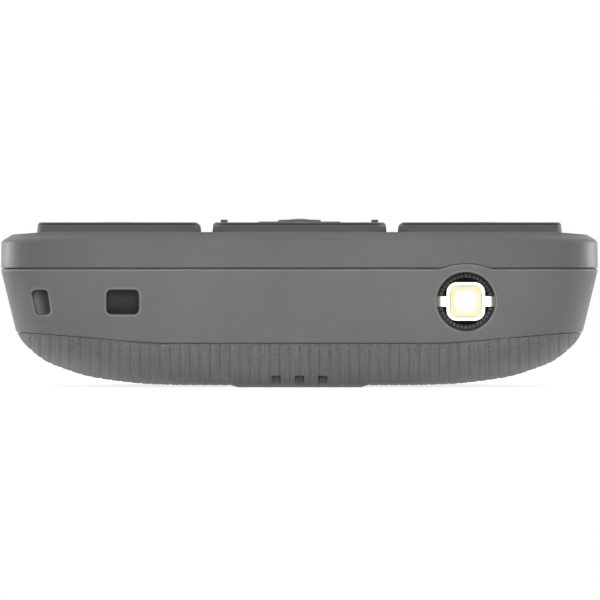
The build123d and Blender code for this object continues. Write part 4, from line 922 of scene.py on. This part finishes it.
# %% Bead recipe
ring_low, ring_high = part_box("torch_bezel")
ring_x, _, ring_z = (ring_low + ring_high) / 2
beads = Recipe(
    "beads",
    Count=40,
    Ring_Radius=2.16 * MM,
    Bead_Radius=0.14 * MM,
    Depth=ring_high.y,
    Tab_Half=0.5 * MM,
)
sockets = {"Vertices": beads.size["Count"], "Radius": beads.size["Ring_Radius"]}
circle = beads.node("GeometryNodeMeshCircle", sockets, fill_type="NONE")
sockets = {"Segments": 10, "Rings": 6, "Radius": beads.size["Bead_Radius"]}
bead = beads.node("GeometryNodeMeshUVSphere", sockets)
height = beads.node("ShaderNodeSeparateXYZ", {0: beads.node("GeometryNodeInputPosition")}, 1)
clear = height.math("GREATER_THAN", abs(height), beads.size["Tab_Half"])
sockets = {"Points": circle, "Selection": clear, "Instance": bead}
strung = beads.node("GeometryNodeInstanceOnPoints", sockets)
ring_middle = beads.vector(ring_x, beads.size["Depth"], ring_z)
turned = beads.moved(strung, ring_middle, (math.pi / 2, 0, 0))
rounded = beads.node("GeometryNodeSetShadeSmooth", {"Geometry": turned})
beads.finish(rounded, bezel.material)
bead_mesh = beads.bake("torch_beads")
place("torch_beads", bead_mesh, "casing", "bezel_black")
tab_reach = 2.27
tab_size = (0.38, 0.1, 0.86)
tab_ends = bmesh.new()
for side in (-1, 1):
    spot = Vector((ring_x + side * tab_reach * MM, ring_high.y, ring_z))
    tab = bmesh.ops.create_cube(tab_ends, size=MM)["verts"]
    bmesh.ops.scale(tab_ends, verts=tab, vec=tab_size)
    bmesh.ops.translate(tab_ends, verts=tab, vec=spot)
tab_mesh = built_mesh("torch_tab_ends", tab_ends)
tab_mesh.materials.append(lamp.material)
place("torch_tab_ends", tab_mesh, "casing", "lamp_white")
print(len(bead_mesh.polygons), "faces in the bead ring")

# %% [markdown]
# ## The earpiece cloth
#
# Behind the earpiece slot lies a fine woven metal cloth: thin wires along and across, at a
# fixed pitch. They stand for the flat plate of the CAD model.

# %% Wire recipe
mesh_low, mesh_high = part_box("earpiece_mesh")
span = mesh_high - mesh_low
middle = (mesh_low + mesh_high) / 2
weave = Recipe(
    "weave",
    Pitch=0.24 * MM,
    Wire_Radius=0.045 * MM,
    Long=span.x,
    Wide=span.y,
    Lift=0.05 * MM,
)


def wires(length, spread, turn, along_x, lift):
    """Parallel wires of one direction, spread evenly about the middle."""
    pitch = weave.size["Pitch"]
    count = weave.node("FunctionNodeFloatToInt", {0: spread / pitch})
    start = -(count.math("SUBTRACT", count, 1) * pitch) / 2
    sockets = {"Vertices": 6, "Radius": weave.size["Wire_Radius"], "Depth": length}
    wire = weave.node("GeometryNodeMeshCylinder", sockets)
    first = weave.vector(start, 0, 0) if along_x else weave.vector(0, start, 0)
    stride = weave.vector(pitch, 0, 0) if along_x else weave.vector(0, pitch, 0)
    sockets = {"Count": count, "Start Location": first, "Offset": stride}
    line = weave.node("GeometryNodeMeshLine", sockets, mode="OFFSET")
    sockets = {"Points": line, "Instance": wire, "Rotation": turn}
    laid = weave.node("GeometryNodeInstanceOnPoints", sockets)
    return weave.moved(laid, weave.vector(0, 0, lift))


long, wide, lift = (weave.size[label] for label in ("Long", "Wide", "Lift"))
quarter_turn = math.pi / 2
along = wires(long, wide, (0, quarter_turn, 0), False, lift)
across = wires(wide, long, (quarter_turn, 0, 0), True, -lift)
cloth = weave.moved(weave.join(along, across), tuple(middle))
weave.finish(cloth, finishes["mesh_black"].material)
cloth_mesh = weave.bake("earpiece_cloth")
place("earpiece_cloth", cloth_mesh, "casing", "mesh_black", ["earpiece_mesh"])
print(len(cloth_mesh.polygons), "faces in the cloth")

# %% [markdown]
# ## Legends on the keys
#
# Printed legends are a thin layer of ink on the key tops. Each key's print is one mesh, which
# moves with its key.

# %% Print helper
INK = 0.02


def text_mesh(text, height, bold):
    """A flat mesh of a text, centred on zero, so many millimetres high."""
    curve = bpy.data.curves.new("text", "FONT")
    curve.body = text
    curve.align_x, curve.align_y = "CENTER", "CENTER"
    curve.size = height * MM / 0.7
    curve.offset = bold * MM
    curve.extrude = INK * MM / 2
    curve.resolution_u = 6
    return plain_mesh(bpy.data.objects.new("text", curve))


def shape_mesh(points):
    """A flat plate from a closed row of points in millimetres."""
    shape = bmesh.new()
    face = shape.faces.new([shape.verts.new((x * MM, y * MM, -INK * MM / 2)) for x, y in points])
    grown = bmesh.ops.extrude_face_region(shape, geom=[face])
    corners = [g for g in grown["geom"] if isinstance(g, bmesh.types.BMVert)]
    bmesh.ops.translate(shape, verts=corners, vec=(0, 0, INK * MM))
    bmesh.ops.recalc_face_normals(shape, faces=shape.faces)
    return built_mesh("shape", shape)


def bar(width, height, radius=0.15, steps=4):
    """Corner points of a bar with rounded corners."""
    corners = ((1, 1, 0), (-1, 1, 90), (-1, -1, 180), (1, -1, 270))
    points = []
    for sx, sy, start in corners:
        for step in range(steps + 1):
            angle = math.radians(start + 90 * step / steps)
            x = sx * (width / 2 - radius) + radius * math.cos(angle)
            y = sy * (height / 2 - radius) + radius * math.sin(angle)
            points.append((x, y))
    return points


def handset(length=3.4, thick=0.75, ear=0.95):
    """Points of a handset: a bowed bar with a deeper pad at both ends."""
    half, bow = length / 2, 0.55
    upper = [(half * s, bow * (1 - s * s)) for s in np.linspace(-1, 1, 13)]
    inner = [(x * 0.62, y - thick - 0.1) for x, y in reversed(upper)]
    right = [(half, -ear), (half - ear, -ear)]
    left = [(-half + ear, -ear), (-half, -ear)]
    return upper + right + inner[2:-2] + left


def merge(parts):
    """One mesh from meshes, each with its place and turn in millimetres and degrees."""
    whole = bmesh.new()
    for mesh, spot, turn in parts:
        turned = Matrix.Rotation(math.radians(turn), 4, "Z")
        mesh.transform(Matrix.Translation(Vector(spot) * MM) @ turned)
        whole.from_mesh(mesh)
        bpy.data.meshes.remove(mesh)
    return built_mesh("print", whole)


def print_on(key, parts, ink):
    """Lays a print on the top of a key. Its parts are placed from the key's middle."""
    low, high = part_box(key)
    middle = (low + high) / 2 / MM
    start = Vector((middle.x, middle.y, key_top + INK / 2))
    mesh = merge([(mesh, start + Vector(spot), turn) for mesh, spot, turn in parts])
    mesh.name = key + "_print"
    mesh.materials.append(finishes[ink].material)
    place(key + "_print", mesh, key)


print("ink is", INK, "mm thick")

# %% [markdown]
# The twelve lower keys carry a number and, as on any telephone, the letters that share it. The
# key tops lean a little, so the print sits at the highest level and its own thickness hides that.

# %% Numbers and letters
letters = {
    "key_2": "abc", "key_3": "def", "key_4": "ghi", "key_5": "jkl",
    "key_6": "mno", "key_7": "pqrs", "key_8": "tuv", "key_9": "wxyz",
}
signs = {"key_star": "*", "key_hash": "#"}
for digit in range(10):
    signs["key_%d" % digit] = str(digit)
for key, sign in signs.items():
    drop = -0.7 if sign == "*" else 0.0
    shift = -2.0 if key in letters else 0.0
    parts = [(text_mesh(sign, 3.0, 0.05), (shift, drop, 0), 0)]
    if key in letters:
        parts.append((text_mesh(letters[key], 1.25, 0.02), (1.9, -0.2, 0), 0))
    print_on(key, parts, "ink_white")
print(len(signs), "keys printed")

# %% [markdown]
# Above them are the two soft keys with a dash each, the green and the red handset, and four marks
# on the ring of the four-way key.

# %% Signs of the upper keys
for key in ("key_soft_left", "key_soft_right"):
    print_on(key, [(shape_mesh(bar(2.6, 0.4)), (0, 0, 0), 0)], "ink_white")
print_on("key_call", [(shape_mesh(handset()), (0, 0.2, 0), 50)], "ink_green")
print_on("key_end", [(shape_mesh(handset()), (0, 0.2, 0), 0)], "ink_red")
tick, arrow = 5.5, ((-0.4, 0.5), (-0.4, -0.5), (0.35, 0))
spots = {0: (tick, 0, 0), 90: (0, tick, 0), 180: (-tick, 0, 0), 270: (0, -tick, 0)}
arrows = [(shape_mesh(arrow), spot, turn) for turn, spot in spots.items()]
print_on("key_navigation", arrows, "ink_white")
print("upper keys printed")

# %% [markdown]
# ## Floor, surroundings and lamps
#
# The photograph has a plain white ground with hardly any shadow. The floor is a plain pale
# sheet, and what the camera sees of it is as white as the surroundings. The phone still gets its
# own dark gap underneath. From below, the sheet lets the view through to the phone's back.


# %% Floor
def sort_rays(owner, *kinds):
    """An empty node tree for a material or world, and a mask for each kind of ray."""
    owner.use_nodes = True
    owner.node_tree.nodes.clear()
    path = owner.node_tree.nodes.new("ShaderNodeLightPath")
    return owner.node_tree, [Wire(owner.node_tree, path.outputs["Is %s Ray" % k]) for k in kinds]


reach, floor_z = 1.5, -0.02 * MM
floor_mesh = bpy.data.meshes.new("floor")
corners = [(x * reach, y * reach, floor_z) for x, y in ((-1, -1), (1, -1), (1, 1), (-1, 1))]
floor_mesh.from_pydata(corners, [], [(0, 1, 2, 3)])
floor = bpy.data.objects.new("floor", floor_mesh)
scene.collection.objects.link(floor)
paper = bpy.data.materials.new("paper")
tree, (seen, mirrored) = sort_rays(paper, "Camera", "Glossy")
matte = add_node(tree, "ShaderNodeBsdfDiffuse", {"Color": (0.8, 0.8, 0.8, 1)})
shine = {"Color": (1, 1, 1, 1), "Strength": 0.8 * seen + 0.9 * mirrored}
glow = add_node(tree, "ShaderNodeEmission", shine)
both = add_node(tree, "ShaderNodeAddShader", {0: matte, 1: glow})
clear = add_node(tree, "ShaderNodeBsdfTransparent")
under = add_node(tree, "ShaderNodeNewGeometry", out=6)
sheet = add_node(tree, "ShaderNodeMixShader", {0: under, 1: both, 2: clear})
plug(tree, sheet, tree.nodes.new("ShaderNodeOutputMaterial").inputs["Surface"])
floor_mesh.materials.append(paper)
print("sheet of", 2 * reach, "m, clear from below")

# %% [markdown]
# The surroundings are white to the camera, to mirrored light and to light through the window.
# For the rest of the light they are dimmer, so that the lamps can shape the phone.

# %% Surroundings
scene.world = bpy.data.worlds.new("white")
tree, (seen, mirrored, passed) = sort_rays(scene.world, "Camera", "Glossy", "Transmission")
white = seen.at_least(mirrored).at_least(passed)
ambient = 0.36
surroundings = {"Color": (1, 1, 1, 1), "Strength": ambient + white * (1 - ambient)}
back = add_node(tree, "ShaderNodeBackground", surroundings)
plug(tree, back, tree.nodes.new("ShaderNodeOutputWorld").inputs["Surface"])
print("white surroundings, ambient light", ambient)

# %% [markdown]
# Five lamps light the phone. The front one gives the end wall its even tone. The wash is a
# narrow beam on the sheet before the phone, which keeps that part white. The one above lights
# the key tops, and the two at the sides give the band its bright ends.


# %% Lamps
def add_lamp(name, place, aim, size, spread, watts):
    """A square soft lamp. It shines from its place towards its aim, so many degrees wide."""
    data = bpy.data.lights.new(name, "AREA")
    data.size, data.spread, data.energy = size, math.radians(spread), watts
    light = bpy.data.objects.new(name, data)
    light.location = place
    light.rotation_euler = (Vector(aim) - Vector(place)).to_track_quat("-Z", "Y").to_euler()
    scene.collection.objects.link(light)


end = Vector((0, upper_end_y, 0.007))
add_lamp("front", end + Vector((0, 1.0, 0.11)), end, 0.20, 180, 1.3)
add_lamp("wash", end + Vector((0, 0.35, 0.40)), end + Vector((0, 0.08, -0.007)), 0.08, 26, 0.036)
add_lamp("above", end + Vector((0, -0.9, 0.6)), end + Vector((0, -0.06, 0)), 0.40, 180, 0.3)
for side in (-1, 1):
    beside, corner = Vector((side * 0.45, -0.43, 0.10)), Vector((side * 0.02, 0, 0.005))
    add_lamp("side", end + beside, end + corner, 0.18, 180, 1.2)
print("five lamps")
